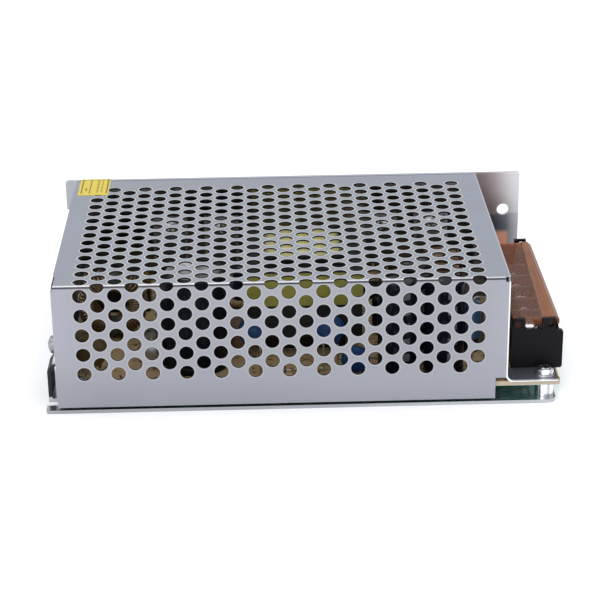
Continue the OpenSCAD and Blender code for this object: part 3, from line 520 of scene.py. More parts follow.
def punchedHoles(column, row, onSide, topSide):
    # Distance in mm to the middle of the nearest hole of two grids, one shifted by a column and
    # half a row: past a grid's last row a large number is added, so no hole shows there
    p, r = cover["columnPitch"], cover["rowPitch"]

    def squared(across, down, topRows, sideRows):
        across, down = across.wrap(-p, p), down.wrap(-r / 2, r / 2)
        squares = across * across + down * down
        for rows, only in ((topRows, topSide), (sideRows, onSide)):
            squares = squares + only * row.step((rows + 0.4) * r, (rows + 0.42) * r) * 100
        return squares

    even = squared(column, row - r / 2, cover["evenRows"], cover["sideRows"])
    odd = squared(column - p, row, cover["oddRows"], cover["sideRows"] - 0.5)
    return even.minimum(odd).root()


def coverMetal():
    # Rolled sheet: streaks along the case and rolled rims round the punched holes, with painted light and
    # shade: painted highlights on the rims, painted shade in the bores, a painted highlight and a painted
    # shade line at the fold, a painted highlight along the cut edge, painted shade and a painted highlight on
    # the foot, the fold's gaps painted black as shade, and the top painted lighter than the side
    f = Finish("coverSheet")
    x, y, z, low, high = f.on("mesh_cover")
    tones = coverTones
    sheetEnd = high[0] - cover["footLength"]
    footTop = boardTop() / mm + cover["sheet"]
    column = x - (low[0] + cover["firstColumn"])
    depth, drop = y - low[1], high[2] - z
    row = depth.maximum(drop)  # distance from the fold, on either face
    onSide = depth.under(0.9, 1.0)
    topSide = 1 - onSide

    distance = punchedHoles(column, row, onSide, topSide)
    radius, halfPitch = cover["holeRadius"], cover["columnPitch"] / 2
    lastColumn = (cover["columns"] - 0.5) * cover["columnPitch"]
    punched = column.within(-halfPitch - 0.1, -halfPitch, lastColumn, lastColumn + 0.1)
    # Painted highlight on the rolled rims, whose mask also gives their bump
    rim = distance.under(radius + 0.22, radius + cover["rimWidth"]) * punched
    # Painted shade in the bores of the holes
    bore = distance.under(radius + 0.03, radius + 0.09) * punched
    among = column.within(-10, 4, lastColumn - 6, lastColumn + 8) * row.under(22, 36)

    # Painted highlight and painted shade lines at the fold, and a painted highlight along the cut edge
    light, dark, line = cover["foldLight"], cover["foldDark"], cover["edgeLight"]
    foldDark = drop.within(light, light + 0.12, dark, dark + 0.25) * onSide
    foldLight = drop.under(light - 0.1, light) * onSide * (0.7 - x.step(-60, 60) * 0.5)
    # Painted highlight along the cut edge, on the side and on the top
    edge = x.within(sheetEnd - line - 0.12, sheetEnd - line, sheetEnd + 0.02, sheetEnd + 0.04)
    # Painted shade on the foot's face and top, and a painted highlight along its upper edge
    footEdge = x.step(sheetEnd, sheetEnd + 0.02) * onSide
    footLight = footEdge * z.step(footTop - line, footTop - line + 0.1)
    footFlat = x.step(sheetEnd, sheetEnd + 0.5) * topSide * z.step(footTop - 0.1, footTop - 0.05)
    # The gaps in the fold are painted black as shade
    start, end = sheetEnd - cover["nick"][0], sheetEnd - cover["nick"][1]
    nick = x.within(start, start + 0.15, end - 0.1, end) * drop.under(0.75, 0.9) * depth.under(1.2, 1.4)
    start, end = low[0] + cover["slit"][0], low[0] + cover["slit"][1]
    slit = x.within(start, start + 0.05, end - 0.15, end) * depth.under(7.5, 9) * drop.under(0.75, 0.9)
    gap = nick.maximum(slit)

    streaks = f.noise(1.0, 4, (30, 900, 2600), 0.6)
    clouds = f.noise(28, 3)
    # The top takes a lighter, bluer tone than the side and lighter still toward the closed end; the side
    # darkens toward its foot and the closed end: painted light and shade
    top = f.mixColor(streaks.step(0.3, 0.7), *tones["topStreaks"])
    top = f.mixColor(x.under(-75, 20) * 0.5, top, tones["topPale"])
    side = f.mixColor(streaks.step(0.3, 0.7), *tones["sideStreaks"])
    side = f.mixColor(z.under(2, 24), side, f.mixColor(x.step(-70, 50), *tones["sideFoot"]))
    base = f.layers(
        f.mixColor(onSide, top, side), tones, clouds=clouds.step(0.35, 0.7) * 0.5,
        amongHoles=among * onSide * 0.4, rim=rim * (0.2 + topSide * 0.66), foldDark=foldDark * 0.88,
        foldLight=(edge * onSide + foldLight).minimum(1), edge=edge * topSide * 0.5,
        footEdge=footEdge * 0.8, gap=gap, footFlat=footFlat * 0.5, footLight=footLight, bore=bore)
    rough = 0.36 + streaks * 0.12 + clouds * 0.08 + (bore + gap) * 0.3
    fine = f.noise(1.0, 3, (160, 5200, 9000), 0.55)
    f.surface(base, rough, 1.0, f.bump(fine * 0.3 + rim * -1.8, 0.35, 0.00005))
    return f


chassis = dict(  # in mm
    earLength=16,  # of the tall wall, past the cover
    bandHeight=27,  # of the painted reflection of the terminals in it
    bandFoot=15,
    endWall=3.2, tabHeight=13,  # the tab at the closed end, painted black as shade
    mirror=(-15, 25),  # the painted reflection, bright, on the wall under the cover
)
# Among these tones, painted reflections: the tall wall's tones past the cover with its band and border, the
# bright wall under the cover and the orange of the flap; painted shade: the black tab and the floor's front
# edge
chassisTones = dict(
    streaks=((0.47, 0.48, 0.51), (0.58, 0.59, 0.62)),
    ear=((0.38, 0.31, 0.325), (0.8, 0.79, 0.82)), earFoot=(0.34, 0.2, 0.19),
    band=((0.035, 0.042, 0.05), (0.42, 0.44, 0.54)), border=(0.66, 0.66, 0.69),
    inner=((0.15, 0.15, 0.155), (0.85, 0.86, 0.86)), innerEnd=(0.43, 0.44, 0.47),
    tab=(0.01, 0.01, 0.011), warm=(0.92, 0.42, 0.29), frontEdge=(0.22, 0.225, 0.24),
)


def chassisMetal():
    # The same sheet left brighter inside, where a painted reflection stands for what is near it; the tall
    # wall is duller than the floor and past the cover carries painted reflections that grow lighter toward
    # its free end: a dark band with a lighter border for the terminals, brown near the cover and orange for
    # the flap. The tab at the closed end is painted black as shade and the floor's front edge takes painted
    # shade
    f = Finish("chassisSheet")
    x, y, z, low, high = f.on("chassis")
    end, earStart = high[0], high[0] - chassis["earLength"]
    foot, bandTop, wallStart = chassis["bandFoot"], chassis["bandHeight"], low[0] + chassis["endWall"]
    wall = y.step(high[1] - 2.2, high[1] - 1.4)
    inside = wall * y.under(high[1] - 0.9, high[1] - 0.6)  # its face toward the parts
    # Painted reflections on the tall wall past the cover: lighter toward its free end, with a dark band and a
    # lighter border for the terminals
    ear = inside * x.step(earStart, earStart + 1)
    along = x.step(end - 14, end - 2)
    band = ear * z.under(bandTop - 0.5, bandTop + 1)
    border = (band * x.step(end - 4.6, end - 2.0)).maximum(ear * z.under(foot - 0.5, foot + 1))
    # Painted reflection on the wall's inner face under the cover, bright in the middle and set to its own
    # tone at the closed end
    inner = inside * x.within(low[0] + 3.9, low[0] + 4.1, earStart, earStart + 1)
    inner = inner * z.under(high[2] - 1.4, high[2] - 1.0)
    first, last = chassis["mirror"]
    mirror = x.within(first - 1, first + 1, last - 1, last + 1)
    tabTop = chassis["tabHeight"]
    # Painted black shade on the tab at the closed end
    tab = x.under(wallStart, wallStart + 0.1) * z.within(1.4, 1.6, tabTop - 0.5, tabTop + 0.5) * (1 - wall)
    # Painted orange reflection of the flap on the tall wall, which is less metallic there
    warm = ear * x.under(end - 4.5, end - 2.5) * z.within(foot - 0.5, foot + 1, 19.5, 22.0)
    # Painted shade along the floor's front edge
    front = y.under(low[1] + 0.2, low[1] + 0.4) * z.under(1.4, 1.6) * x.under(-20, 60)

    streaks = f.noise(1.0, 4, (26, 700, 900), 0.6)
    clouds = f.noise(22, 3)
    tones = chassisTones | {name: f.mixColor(mask, *chassisTones[name])
                            for name, mask in (("ear", along), ("band", along), ("inner", mirror))}
    # The brown lower part of the tall wall near the cover is a painted reflection too
    base = f.layers(
        f.mixColor(streaks.step(0.25, 0.75), *tones["streaks"]), tones,
        ear=ear, earFoot=ear * z.under(30, 36) * (1 - along) * 0.5, band=band, border=border,
        inner=inner, innerEnd=inside * x.under(low[0] + 3.1, low[0] + 3.7), tab=tab * 0.93,
        warm=warm, frontEdge=front * 0.45)
    rough = 0.17 + streaks * 0.1 + clouds.step(0.4, 0.8) * 0.08 + ear * 0.15 + tab * 0.4
    scratch = f.noise(1.0, 2, (70, 2400, 3000), 0.5)
    f.surface(base, rough, 1 - warm * 0.75, f.bump(scratch, 0.12, 0.00003))
    return f


footScrew = dict(
    recess=0.3, reach=2.2,  # depth below the head's top and distance from the axis, in mm
    streaks=((0.42, 0.43, 0.45), (0.88, 0.89, 0.91)), pit=(0.03, 0.03, 0.032),
)


def footScrewPlate():
    # Plated screw: the metal is darkened with painted shade where it lies deeper than the head's top near its
    # axis, in the recess
    f = Finish("footScrewPlate")
    x, y, z, low, high = f.on("foot_screw")
    middle = (low + high) / 2
    across, down = x - middle[0], y - middle[1]
    away = (across * across + down * down).root()
    reach = footScrew["reach"]
    # Painted shade in the recess
    pit = (z - (high[2] - footScrew["recess"])).under(-0.12, 0.0) * away.under(reach - 0.2, reach)
    grain = f.noise(900, 3)
    streaks = f.noise(1.0, 2, (500, 500, 60), 0.5)
    base = f.mixColor(streaks.step(0.35, 0.62), *footScrew["streaks"])
    base = f.mixColor(pit * 0.9, base, footScrew["pit"])
    f.surface(base, 0.15 + grain * 0.14 + pit * 0.3, 1.0, f.bump(grain, 0.12, 0.00003))
    return f


def streakedPost():
    # Plated posts with painted reflections: light and dark bands that run up each post
    f = Finish("postPlate")
    bands = f.noise(1.0, 2, (820, 820, 6), 0.5)
    base = f.mixColor(bands.step(0.37, 0.5), (0.16, 0.17, 0.18), (0.9, 0.91, 0.93))
    f.surface(base, 0.16 + bands * 0.12, 1.0, f.bump(bands, 0.3, 0.0002))
    return f


seal = dict(
    paper=((0.68, 0.545, 0.058), (0.61, 0.47, 0.047)), ink=(0.13, 0.085, 0.015),
    rules=((0.1, 0.018), (0.37, 0.014), (0.93, 0.02)),  # middle and half width: shares of the width
    dashes=((0.62, 0.035), (0.76, 0.02)),
    block=(0.24, 0.03), blockAt=10.5,  # mm down from the fold
    margin=1.5, dashPitch=1.5,  # mm
)


def sealPaper():
    # Printed seal: a border, ruled lines, two rows of dashes and one plain block
    f = Finish("sealPaper")
    x, y, z, low, high = f.on("seal_label")
    across = (x - low[0]) * (1 / (high[0] - low[0]))
    along = (high[1] - y) + (high[2] - z)  # length from the fold, on the top and down the wall

    def band(value, middle, half, soft=0.012):
        return (value - middle).absolute().under(half, half + soft)

    end = high[1] - low[1] - seal["margin"]
    ink = band(across, *seal["rules"][0])
    ink = ink.maximum(*[band(across, *rule) for rule in seal["rules"][1:]], band(along, 0.9, 0.14, 0.08))
    ink = ink * along.under(end - 0.1, end)
    dashed = along.wrap(0, seal["dashPitch"]).step(0.55, 0.62) * along.under(end - 1.1, end - 1)
    wide, narrow = [band(across, *column) for column in seal["dashes"]]
    blocks = wide.maximum(narrow) * dashed
    blocks = blocks.maximum(band(across, *seal["block"]) * band(along, seal["blockAt"], 1.3, 0.1))
    fibres = f.noise(1400, 4)
    tone = f.mixColor(fibres, *seal["paper"])
    tone = f.mixColor(ink.maximum(blocks * 0.85) * 0.85, tone, seal["ink"])
    f.surface(tone, 0.48 + fibres * 0.1, 0.0, f.bump(fibres, 0.12, 0.00003))
    return f


def makeCase():
    paint("mesh_cover", coverMetal())
    paint("seal_label", sealPaper())
    softCopies({
        "chassis": (chassisMetal(), 0.14), "tab_screw": (brightMetal("tabScrewPlate"), 0.1),
        "foot_screw": (footScrewPlate(), 0.12), "flat_washer": (plated, 0.08),
        "spring_washer": (brightMetal("springSteel"), 0.08), "board_screws": (plated, 0.1),
        "standoffs": (streakedPost(), 0.12), "wall_screws": (plated, 0.08),
        "insulating_pads": (mouldedPlastic("siliconePad", (0.36, 0.37, 0.4), 0.6), 0.05),
    })


flap = dict(  # in mm
    hingeWidth=2.3, ridgeWidth=4.6, lipWidth=1.25, endWidth=3.4, lean=0.035,
    grey=((0.74, 0.345, 0.235), (0.62, 0.29, 0.195)),
    orange=((0.2, 0.062, 0.013), (0.145, 0.043, 0.009)),
    # The corner tone is painted shade in the far corner
    drawn=(0.35, 0.135, 0.036), corner=(0.15, 0.04, 0.014), farEnd=(0.42, 0.13, 0.03),
    lip=(0.17, 0.06, 0.025), pins=(0.045, 0.01, 0.007),
    thinnest=0.12,  # how much of what lies behind one sheet it hides
)


def amberPlastic():
    # Tinted clear plastic: greyish where it is one sheet thick, stronger in tone along the
    # ridge, at the hinge side and at the ends, dark red where the pins lie in the walls, and dark brown in
    # the far corner as painted shade
    f = Finish("amberFlap")
    x, y, z, low, high = f.on("terminal_flap")
    hinge, width, lipWidth, end = flap["hingeWidth"], flap["ridgeWidth"], flap["lipWidth"], flap["endWidth"]
    hingeSide = x.under(low[0] + hinge - 0.9, low[0] + hinge + 0.9)
    ridge = (x - y * flap["lean"]).step(high[0] - width, high[0] - width + 1.3)
    corner = (x - y * 0.2).under(71.0, 71.8) * y.step(4, 8)  # the far corner, painted dark as shade
    lip = x.step(high[0] - lipWidth - 0.1, high[0] - lipWidth + 0.1)
    below = z.under(high[2] - 1.5, high[2] - 1.3)
    farEnd = y.step(high[1] - end - 1, high[1] - end)
    ends = y.under(low[1] + end - 1.4, low[1] + end).maximum(farEnd)
    pins = y.under(low[1] + 1.45, low[1] + 1.55).maximum(y.step(high[1] - 2.9, high[1] - 2.8))
    strong = (hingeSide * 0.8).maximum(ridge * 0.85, ends * 0.7, below)
    clouds = f.noise(90, 3)
    flow = f.noise(1.0, 3, (900, 60, 900), 0.5)
    drawn = f.noise(1.0, 3, (1600, 12, 40), 0.6)
    tones = flap | {name: f.mixColor(clouds.step(0.3, 0.7), *flap[name]) for name in ("grey", "orange")}
    base = f.layers(
        tones["grey"], tones, orange=strong, drawn=drawn.step(0.46, 0.62) * ridge * 0.6,
        corner=corner * (1 - farEnd) * 0.9, farEnd=farEnd * (1 - ridge) * 0.9, lip=lip, pins=pins)
    f.surface(base, 0.1 + clouds * 0.08 + lip.maximum(pins) * 0.35, 0.0, f.bump(flow, 0.08, 0.00004),
              IOR=1.49, Specular_IOR_Level=0.05, Coat_Roughness=0.08)
    f.feed(f.shader.inputs["Coat Weight"], 1 - corner.maximum(strong * 0.8))
    hiding = (hingeSide * 0.25).maximum(ends * 0.47, below * 0.62, farEnd * 0.7, flap["thinnest"],
                                        ridge * 0.86, lip * 0.98, pins, corner * 0.55)
    f.feed(f.shader.inputs["Alpha"], hiding)
    return f


def makeTerminals():
    heads = brightMetal("headPlate")
    black = mouldedPlastic("terminalPlastic", (0.006, 0.006, 0.0075), 0.38, 1800, 0.2, 0.13)
    softCopies({
        "terminal_block": (black, 0.22), "terminal_plates": (tinned, 0.08), "terminal_clamps": (heads, 0.25),
        "terminal_screws": (heads, 0.4), "terminal_flap": (amberPlastic(), 0.16),
        "trimmer_body": (mouldedPlastic("trimmerBlue", (0.03, 0.1, 0.34), 0.35), 0.12),
        "trimmer_rotor": (mouldedPlastic("trimmerWhite", (0.78, 0.78, 0.74), 0.4), 0.06),
        "lamp": (clearPlastic("lampLens", (0.25, 0.75, 0.3), 0.1, 0.75), 0.06),
    })


board = dict(
    fibres=((0.6, 0.44, 0.24), (0.44, 0.3, 0.15)), stain=(0.4, 0.27, 0.13),
    edge=((0.56, 0.46, 0.34), (0.45, 0.37, 0.27)),
    lacquer=((0.28, 0.7, 0.57), (0.155, 0.45, 0.36)), trackCells=90.0,  # cells per metre
    print=(0.05, 0.035, 0.025), printCells=210.0, shade=(0.02, 0.018, 0.016),
    edgeWidth=0.08,
)


def boardFinish():
    # Paper laminate with printed marks above, green lacquer with tracks below, raw tan edges
    f = Finish("boardLaminate")
    x, y, z, low, high = f.on("circuit_board")
    below = z.under(low[2] + 0.05, low[2] + 0.1)
    above = z.step(high[2] - 0.1, high[2] - 0.05)
    fibres = f.noise(1.0, 4, (500, 900, 4000), 0.6)
    clouds = f.noise(70, 3)
    gap = f.cellBorders(board["trackCells"], 0.75).under(0.03, 0.06)
    lines = f.cellBorders(board["printCells"], 1.0).under(0.025, 0.05)
    spots = f.noise(420, 2).step(0.61, 0.65)
    rows = f.noise(1.0, 1, (260, 90, 90), 0.3).step(0.54, 0.58)
    shade = x.within(50, 56, 62.5, 63.5) * y.step(-27, -22)  # where tall parts keep the light off
    shade = shade.maximum(x.within(58, 60, 73.0, 74.0) * y.step(17, 21))
    tan = f.layers(
        f.mixColor(fibres, *board["fibres"]), board, stain=clouds.step(0.4, 0.75) * 0.4,
        print=(lines * rows * 0.75).maximum(spots * 0.85), shade=shade * 0.93)
    color = f.mixColor(above, f.mixColor(fibres, *board["edge"]), tan)
    color = f.mixColor(below, color, f.mixColor(gap, *board["lacquer"]))
    f.surface(color, 0.62 - below * 0.32 + fibres * 0.08, 0.0,
              f.bump(fibres * 0.3 - gap * below, 0.25, 0.00005))
    return f


solder = dict(  # in mm
    count=190, seed=4, pitch=2.54, margin=5, postSpace=5.5,
    radius=1.05, height=0.75, sizes=(0.75, 1.15),
    leadRadius=0.35, leadLength=1.3, leadLengths=(0.85, 1.1),
)


def makeBoard():
    softCopy("circuit_board", boardFinish(), board["edgeWidth"])
    low, high = corners("circuit_board")
    rng = np.random.default_rng(solder["seed"])
    pitch, margin = solder["pitch"] * mm, solder["margin"] * mm
    columns = np.arange(low[0] + margin, high[0] - margin, pitch)
    rows = np.arange(low[1] + margin, high[1] - margin, pitch)
    spots = np.stack(np.meshgrid(columns, rows), -1).reshape(-1, 2)
    posts = np.array([(postLow + postHigh)[:2] / 2 for postLow, postHigh in solids("standoffs")])
    clear = np.linalg.norm(spots[:, None] - posts[None], axis=2).min(1) > solder["postSpace"] * mm
    joints = []
    for spot in rng.permutation(spots[clear])[:solder["count"]]:
        size = rng.uniform(*solder["sizes"])
        r, h = solder["radius"] * mm * size, solder["height"] * mm * size
        lead, tip = solder["leadRadius"] * mm, solder["leadLength"] * mm * rng.uniform(*solder["leadLengths"])
        # A fillet of solder that rises in a hollow curve to a cut lead
        profile = [(0, 0), (r, 0), (0.72 * r, 0.22 * h), (0.5 * r, 0.6 * h), (lead, h),
                   (0.9 * lead, tip), (0, tip)]
        joints.append(revolve(profile, (*spot, low[2]), (0, 0, -1), 14))
    addPiece("solder_joints", joints, brightMetal("solder"), slot="bright_metal", sharp=50)


canShape = dict(  # in mm, and the groove's depth as a share of the radius
    groove=0.035, grooveAt=2.6, grooveHalf=0.7, foot=0.3, shoulder=0.9, sleeve=0.3,
    dish=0.3, ventRadius=0.16, ventReach=0.3,
)
canSets = dict(  # how far the sleeve turns in and how far its stripe reaches from the axis, in mm
    bulk_capacitor=dict(
        sleeve="bulk_sleeve", metal="canMetal", turnIn=2.4, ventArms=3, reach=12.0,
        film=(0.005, 0.006, 0.01), stripe=(0.36, 0.37, 0.38), stripeTurn=2.6),
    output_capacitors=dict(
        sleeve="output_sleeves", metal="dullCan", turnIn=1.6, ventArms=2, reach=6.6,
        film=(0.005, 0.006, 0.012), stripe=(0.15, 0.155, 0.16), stripeTurn=-1.25),
    small_capacitors=dict(
        sleeve="small_sleeves", metal="dullCan", turnIn=0.9, ventArms=2, reach=6.6,
        film=(0.008, 0.01, 0.03), stripe=(0.35, 0.37, 0.4), stripeTurn=-1.25),
)
filmStripe = dict(halfTurn=0.26, barPitch=5.2, barLength=2.6)


def filmSleeve(facts, middles):
    # Shrunk film on cans: a pale stripe with dark bars runs down one side of each
    f = Finish(facts["sleeve"] + "Film")
    x, y, z = f.axes()
    marks = []
    for middle in middles:
        across, down = x - middle[0] / mm, y - middle[1] / mm
        near = (across * across + down * down).root().under(facts["reach"], facts["reach"] + 0.2)
        turn = (down.angle(across) - facts["stripeTurn"]).wrap(-np.pi, np.pi).absolute()
        marks.append(turn.under(filmStripe["halfTurn"] - 0.03, filmStripe["halfTurn"]) * near)
    bars = z.wrap(0, filmStripe["barPitch"]).step(filmStripe["barLength"], filmStripe["barLength"] + 0.1)
    clouds = f.noise(150, 2)
    base = f.mixColor(clouds, facts["film"], scaled(facts["film"], 1.5))
    base = f.mixColor(marks[0].maximum(*marks[1:]) * bars, base, facts["stripe"])
    f.surface(base, 0.2 + clouds * 0.1, 0.0, f.bump(clouds, 0.08, 0.0001), Specular_IOR_Level=0.12)
    return f


def canParts(low, high, turnIn):
    # A can with a rolled shoulder, a crimped groove near its foot and a dished top; then its
    # sleeve, which follows the same curve and turns in
    r, height = (high - low)[0] / 2, high[2] - low[2]
    names = "sleeve", "shoulder", "foot", "dish", "grooveAt", "grooveHalf"
    wall, shoulder, foot, dish, grooveAt, grooveHalf = [canShape[name] * mm for name in names]
    bend = np.linspace(0, np.pi / 2, 6)
    groove = np.linspace(-np.pi, np.pi, 9)
    z = grooveAt + groove / np.pi * grooveHalf
    dip = canShape["groove"] * r * (1 + np.cos(groove)) / 2

    def side(radius, top, corner):
        rolled = np.stack([radius - corner + corner * np.cos(bend), top - corner + corner * np.sin(bend)], -1)
        return [(0, 0), (radius - foot, 0), (radius, foot), *zip(radius - dip, z), *rolled]

    top, lip = height - wall, r - turnIn
    body = side(r - wall, top, shoulder)
    body += [(lip + 0.1 * mm, top), (lip - 0.3 * mm, top - 0.25 * mm), (0, top - dish)]
    outside = side(r, height, shoulder + wall)[1:]
    sleeve = outside + [(lip, height), (lip - 0.02 * mm, top + 0.02 * mm), (lip + 0.3 * mm, top + 0.01 * mm)]
    sleeve += [(x - wall, h) for x, h in reversed(outside[:-1])]
    sleeve.append(sleeve[0])
    place = (*(low + high)[:2] / 2, low[2])
    return revolve(body, place), revolve(sleeve, place), np.array([*place[:2], low[2] + top - dish])


def ventParts(place, reach, arms):
    # Raised edges of the pressed vent: thin bars that cross at the middle of the can's top
    parts = []
    for turn in np.pi * np.arange(arms) / arms:
        across = np.array([np.cos(turn), np.sin(turn), 0]) * reach
        line = np.linspace(place - across, place + across, 8)
        parts.append(tube(line, canShape["ventRadius"] * mm, (0, 0, 1), 6))
    return parts


def makeCapacitors():
    metals = {name: brightMetal(name) for name in ("canMetal", "dullCan")}
    for canNode, facts in canSets.items():
        cans, sleeves, middles = [], [], []
        for low, high in solids(facts["sleeve"]):
            can, sleeve, top = canParts(low, high, facts["turnIn"] * mm)
            cans += [can, *ventParts(top, (high - low)[0] * canShape["ventReach"], facts["ventArms"])]
            sleeves.append(sleeve)
            middles.append((low + high)[:2] / 2)
        addPiece(canNode + "_cans", cans, metals[facts["metal"]], [canNode], sharp=35)
        addPiece(facts["sleeve"] + "_film", sleeves, filmSleeve(facts, middles), [facts["sleeve"]], sharp=50)


def enamelWire(name, color):
    f = Finish(name)
    clouds = f.noise(260, 3)
    base = f.mixColor(clouds, color, scaled(color, 0.66))
    f.surface(base, 0.22 + clouds * 0.14, 0.65, f.bump(clouds, 0.1, 0.00003), Coat_Weight=0.5,
              Coat_Roughness=0.12)
    return f


chokes = dict(  # lengths in mm and turns in degrees; each leg has its foot's place and its lean
    input=dict(
        axis=1, inner=6.0, windings="input_choke_windings", turns=22, wireRadius=0.55,
        starts=(-75, 105), sweep=150, enamel=("copperWire", (0.23, 0.145, 0.07)),
        legs=[(side * 3.2, depth * 4.4, side * 2, 0) for side in (-1, 1) for depth in (-1, 1)],
        rise=3, legTop=1.2, bend=1.5),
    output=dict(
        axis=0, inner=5.5, windings="output_choke_winding", turns=21, wireRadius=0.62,
        starts=(102,), sweep=336, enamel=("redWire", (0.2, 0.055, 0.03)),
        legs=[(side * 4.6, side * 2.2, 0, side * 1.2) for side in (-1, 1)],
        rise=2, legTop=1.4, bend=1),
)
coreColors = dict(input=(0.035, 0.045, 0.036), output=(0.26, 0.19, 0.11))


def woundRing(centre, axis, outer, inner, thick, wire, turns, start, sweep, steps=22):
    # Wire wound round a ring of square section: one angle goes slowly round the ring while
    # the other goes round the section, whose outline is a superellipse
    first, second, along = basis(axis)
    t = np.linspace(0, 1, turns * steps + 1)
    ringTurn = np.radians(start + sweep * t)
    turn = tau * turns * t
    out = (outer + inner) / 2 + ((outer - inner) / 2 + wire) * signedPower(np.cos(turn), 0.5)
    up = (thick / 2 + wire) * signedPower(np.sin(turn), 0.5)
    radial = circle(first, second, ringTurn)
    path = centre + out[:, None] * radial + up[:, None] * along
    return tube(path, wire, np.cross(along, radial))


def ringCore(centre, axis, outer, inner, thick, ease=0.8):
    # A ring of square section with eased corners, turned about its own axis
    e = ease * mm
    turn = np.linspace(0, np.pi / 2, 5)
    edges = [(outer - e, thick / 2 - e), (inner + e, thick / 2 - e), (inner + e, -thick / 2 + e),
             (outer - e, -thick / 2 + e)]
    profile = []
    for quarter, (r, z) in enumerate(edges):
        a = turn + quarter * np.pi / 2
        profile += list(zip(r + e * np.cos(a), z + e * np.sin(a)))
    profile.append(profile[0])
    return revolve(profile, centre, axis, 64)


def makeChokes():
    coreFinishes = {"input": ferriteFinish("chokeFerrite", coreColors["input"]),
                    "output": mouldedPlastic("powderCore", coreColors["output"], 0.45)}
    for name, facts in chokes.items():
        core = name + "_choke_core"
        low, high = corners(core)
        centre, axis = (low + high) / 2, np.eye(3)[facts["axis"]]
        outer, thick = (high - low)[1 - facts["axis"]] / 2, (high - low)[facts["axis"]]
        ring, wire = (centre, axis, outer, facts["inner"] * mm, thick), facts["wireRadius"] * mm
        addPiece(name + "_choke_ring", [ringCore(*ring)], coreFinishes[name], [core])
        wires = [woundRing(*ring, wire, facts["turns"], start, facts["sweep"]) for start in facts["starts"]]
        for leg in np.array(facts["legs"]) * mm:
            (x, y), lean = centre[:2] + leg[:2], leg[2:]
            stops = [(x, y, boardTop()), (x, y, boardTop() + facts["rise"] * mm),
                     (x + lean[0], y + lean[1], centre[2] - outer + facts["legTop"] * mm)]
            wires.append(tube(roundPath(stops, facts["bend"] * mm), wire, axis))
        addPiece(name + "_choke_wire", wires, enamelWire(*facts["enamel"]), [facts["windings"]])


transformer = dict(  # in mm
    holeHalf=6.55, holeSpace=1.1, bulge=0.03,
    pins=6, pinPitch=4.2, pinHeight=4.0, pinRadius=0.45,
)
tapes = dict(  # width of one layer in mm, then tones: the top and far tones are lighter copies of the tape's tone, painted light
    coreTape=dict(layer=30, color=(0.35, 0.33, 0.045), far=(0.86, 0.8, 0.14)),
    coilTape=dict(layer=2.4, color=(0.3, 0.28, 0.085), top=(0.84, 0.79, 0.34)),
    driveTape=dict(layer=1.6, color=(0.62, 0.5, 0.07)),
)


def tapeFinish(name, node):
    # Wound film: thin edges of each layer show as lines, with a film's even gloss. The top
    # or the far half may take a lighter tone, painted light on the same tape, while the rest keeps a darker
    # one, painted shade
    f = Finish(name)
    x, y, z, low, high = f.on(node)
    facts = tapes[name]
    color = facts["color"]
    wrinkles = f.noise(1.0, 3, (60, 420, 420), 0.5)
    edges = ((y + wrinkles * 0.6) * (1 / facts["layer"])).wrap(0, 1)
    base = f.mixColor(f.noise(80, 2), color, scaled(color, 0.74))
    # Painted light: the top and the far half take lighter tones than the rest of the tape
    if "top" in facts:
        base = f.mixColor(z.step(high[2] - 1.0, high[2] - 0.3), base, facts["top"])
    if "far" in facts:
        middle = (low + high)[1] / 2
        base = f.mixColor(y.step(middle - 1, middle + 1), base, facts["far"])
    base = f.mixColor(edges.under(0.0, 0.16) * 0.35, base, scaled(color, 0.5))
    f.surface(base, 0.24 + wrinkles * 0.14, 0.0, f.bump(wrinkles + edges * 0.1, 0.35, 0.00012))
    return f


def woundBlock(low, high, hole, bulge, steps=48):
    # A coil of rectangular outline about Y: outer and inner superellipses joined by its two
    # ends, with the outside bulging a little between them
    middle, half = (low + high) / 2, (high - low) / 2
    outline = signedPower(circle(*np.eye(2), wholeTurn(steps)), 2 / 9)
    across = np.linspace(-1, 1, 9)
    sizes = np.concatenate([half[[0, 2]] * (1 - bulge * across ** 2)[:, None], [hole, hole]])
    depths = np.concatenate([across, [1, -1]]) * half[1]
    ring = middle[[0, 2]] + outline * sizes[:, None]
    points = np.stack([ring[..., 0], np.tile(middle[1] + depths[:, None], steps), ring[..., 1]], -1)
    return gridPart(points, wrapU=True, wrapV=True)


def makeTransformers():
    facts = transformer
    ferrite = ferriteFinish("ferrite", (0.01, 0.0105, 0.012))
    bobbin = mouldedPlastic("bobbinBlack", (0.009, 0.009, 0.01), 0.4, gloss=0.25)
    softCopies({
        "main_core": (ferrite, 0.5), "main_core_tape": (tapeFinish("coreTape", "main_core_tape"), 0.05),
        "main_bobbin": (bobbin, 0.2), "drive_core": (ferrite, 0.3),
        "drive_coil": (tapeFinish("driveTape", "drive_coil"), 0.3),
    })
    low, high = corners("main_coil")
    coreLow, coreHigh = corners("main_core")
    hole = facts["holeHalf"] * mm, (coreHigh[2] - coreLow[2]) / 2 + facts["holeSpace"] * mm
    addPiece("main_coil_tape", [woundBlock(low, high, hole, facts["bulge"])],
             tapeFinish("coilTape", "main_coil"), ["main_coil"])
    middle = (coreLow + coreHigh) / 2
    places = (np.arange(facts["pins"]) - (facts["pins"] - 1) / 2) * facts["pinPitch"] * mm
    pins = [pin(middle[0] + place, middle[1] + side * (high - low)[1] / 2, facts["pinHeight"] * mm,
                facts["pinRadius"] * mm) for side in (-1, 1) for place in places]
    addPiece("transformer_pins", pins, tinned, slot="bright_metal")


leads = dict(radius=0.3, bend=0.9, standingBend=1.2, filmLength=2.4)  # in mm
dips = dict(
    disc_capacitors=("blueDip", (0.006, 0.05, 0.165), 0.2, 400, 0.3, 0.3),
    thermistor=("darkDip", (0.12, 0.075, 0.022), 0.3, 160, 0.5),
    film_capacitors=("brownDip", (0.24, 0.125, 0.065), 0.26, 500, 0.15),
)
coatDrip = [(0, 0), (0.34, 0), (0.6, 1.2), (1.12, 2.4), (0, 3.0)]  # radius and height in mm


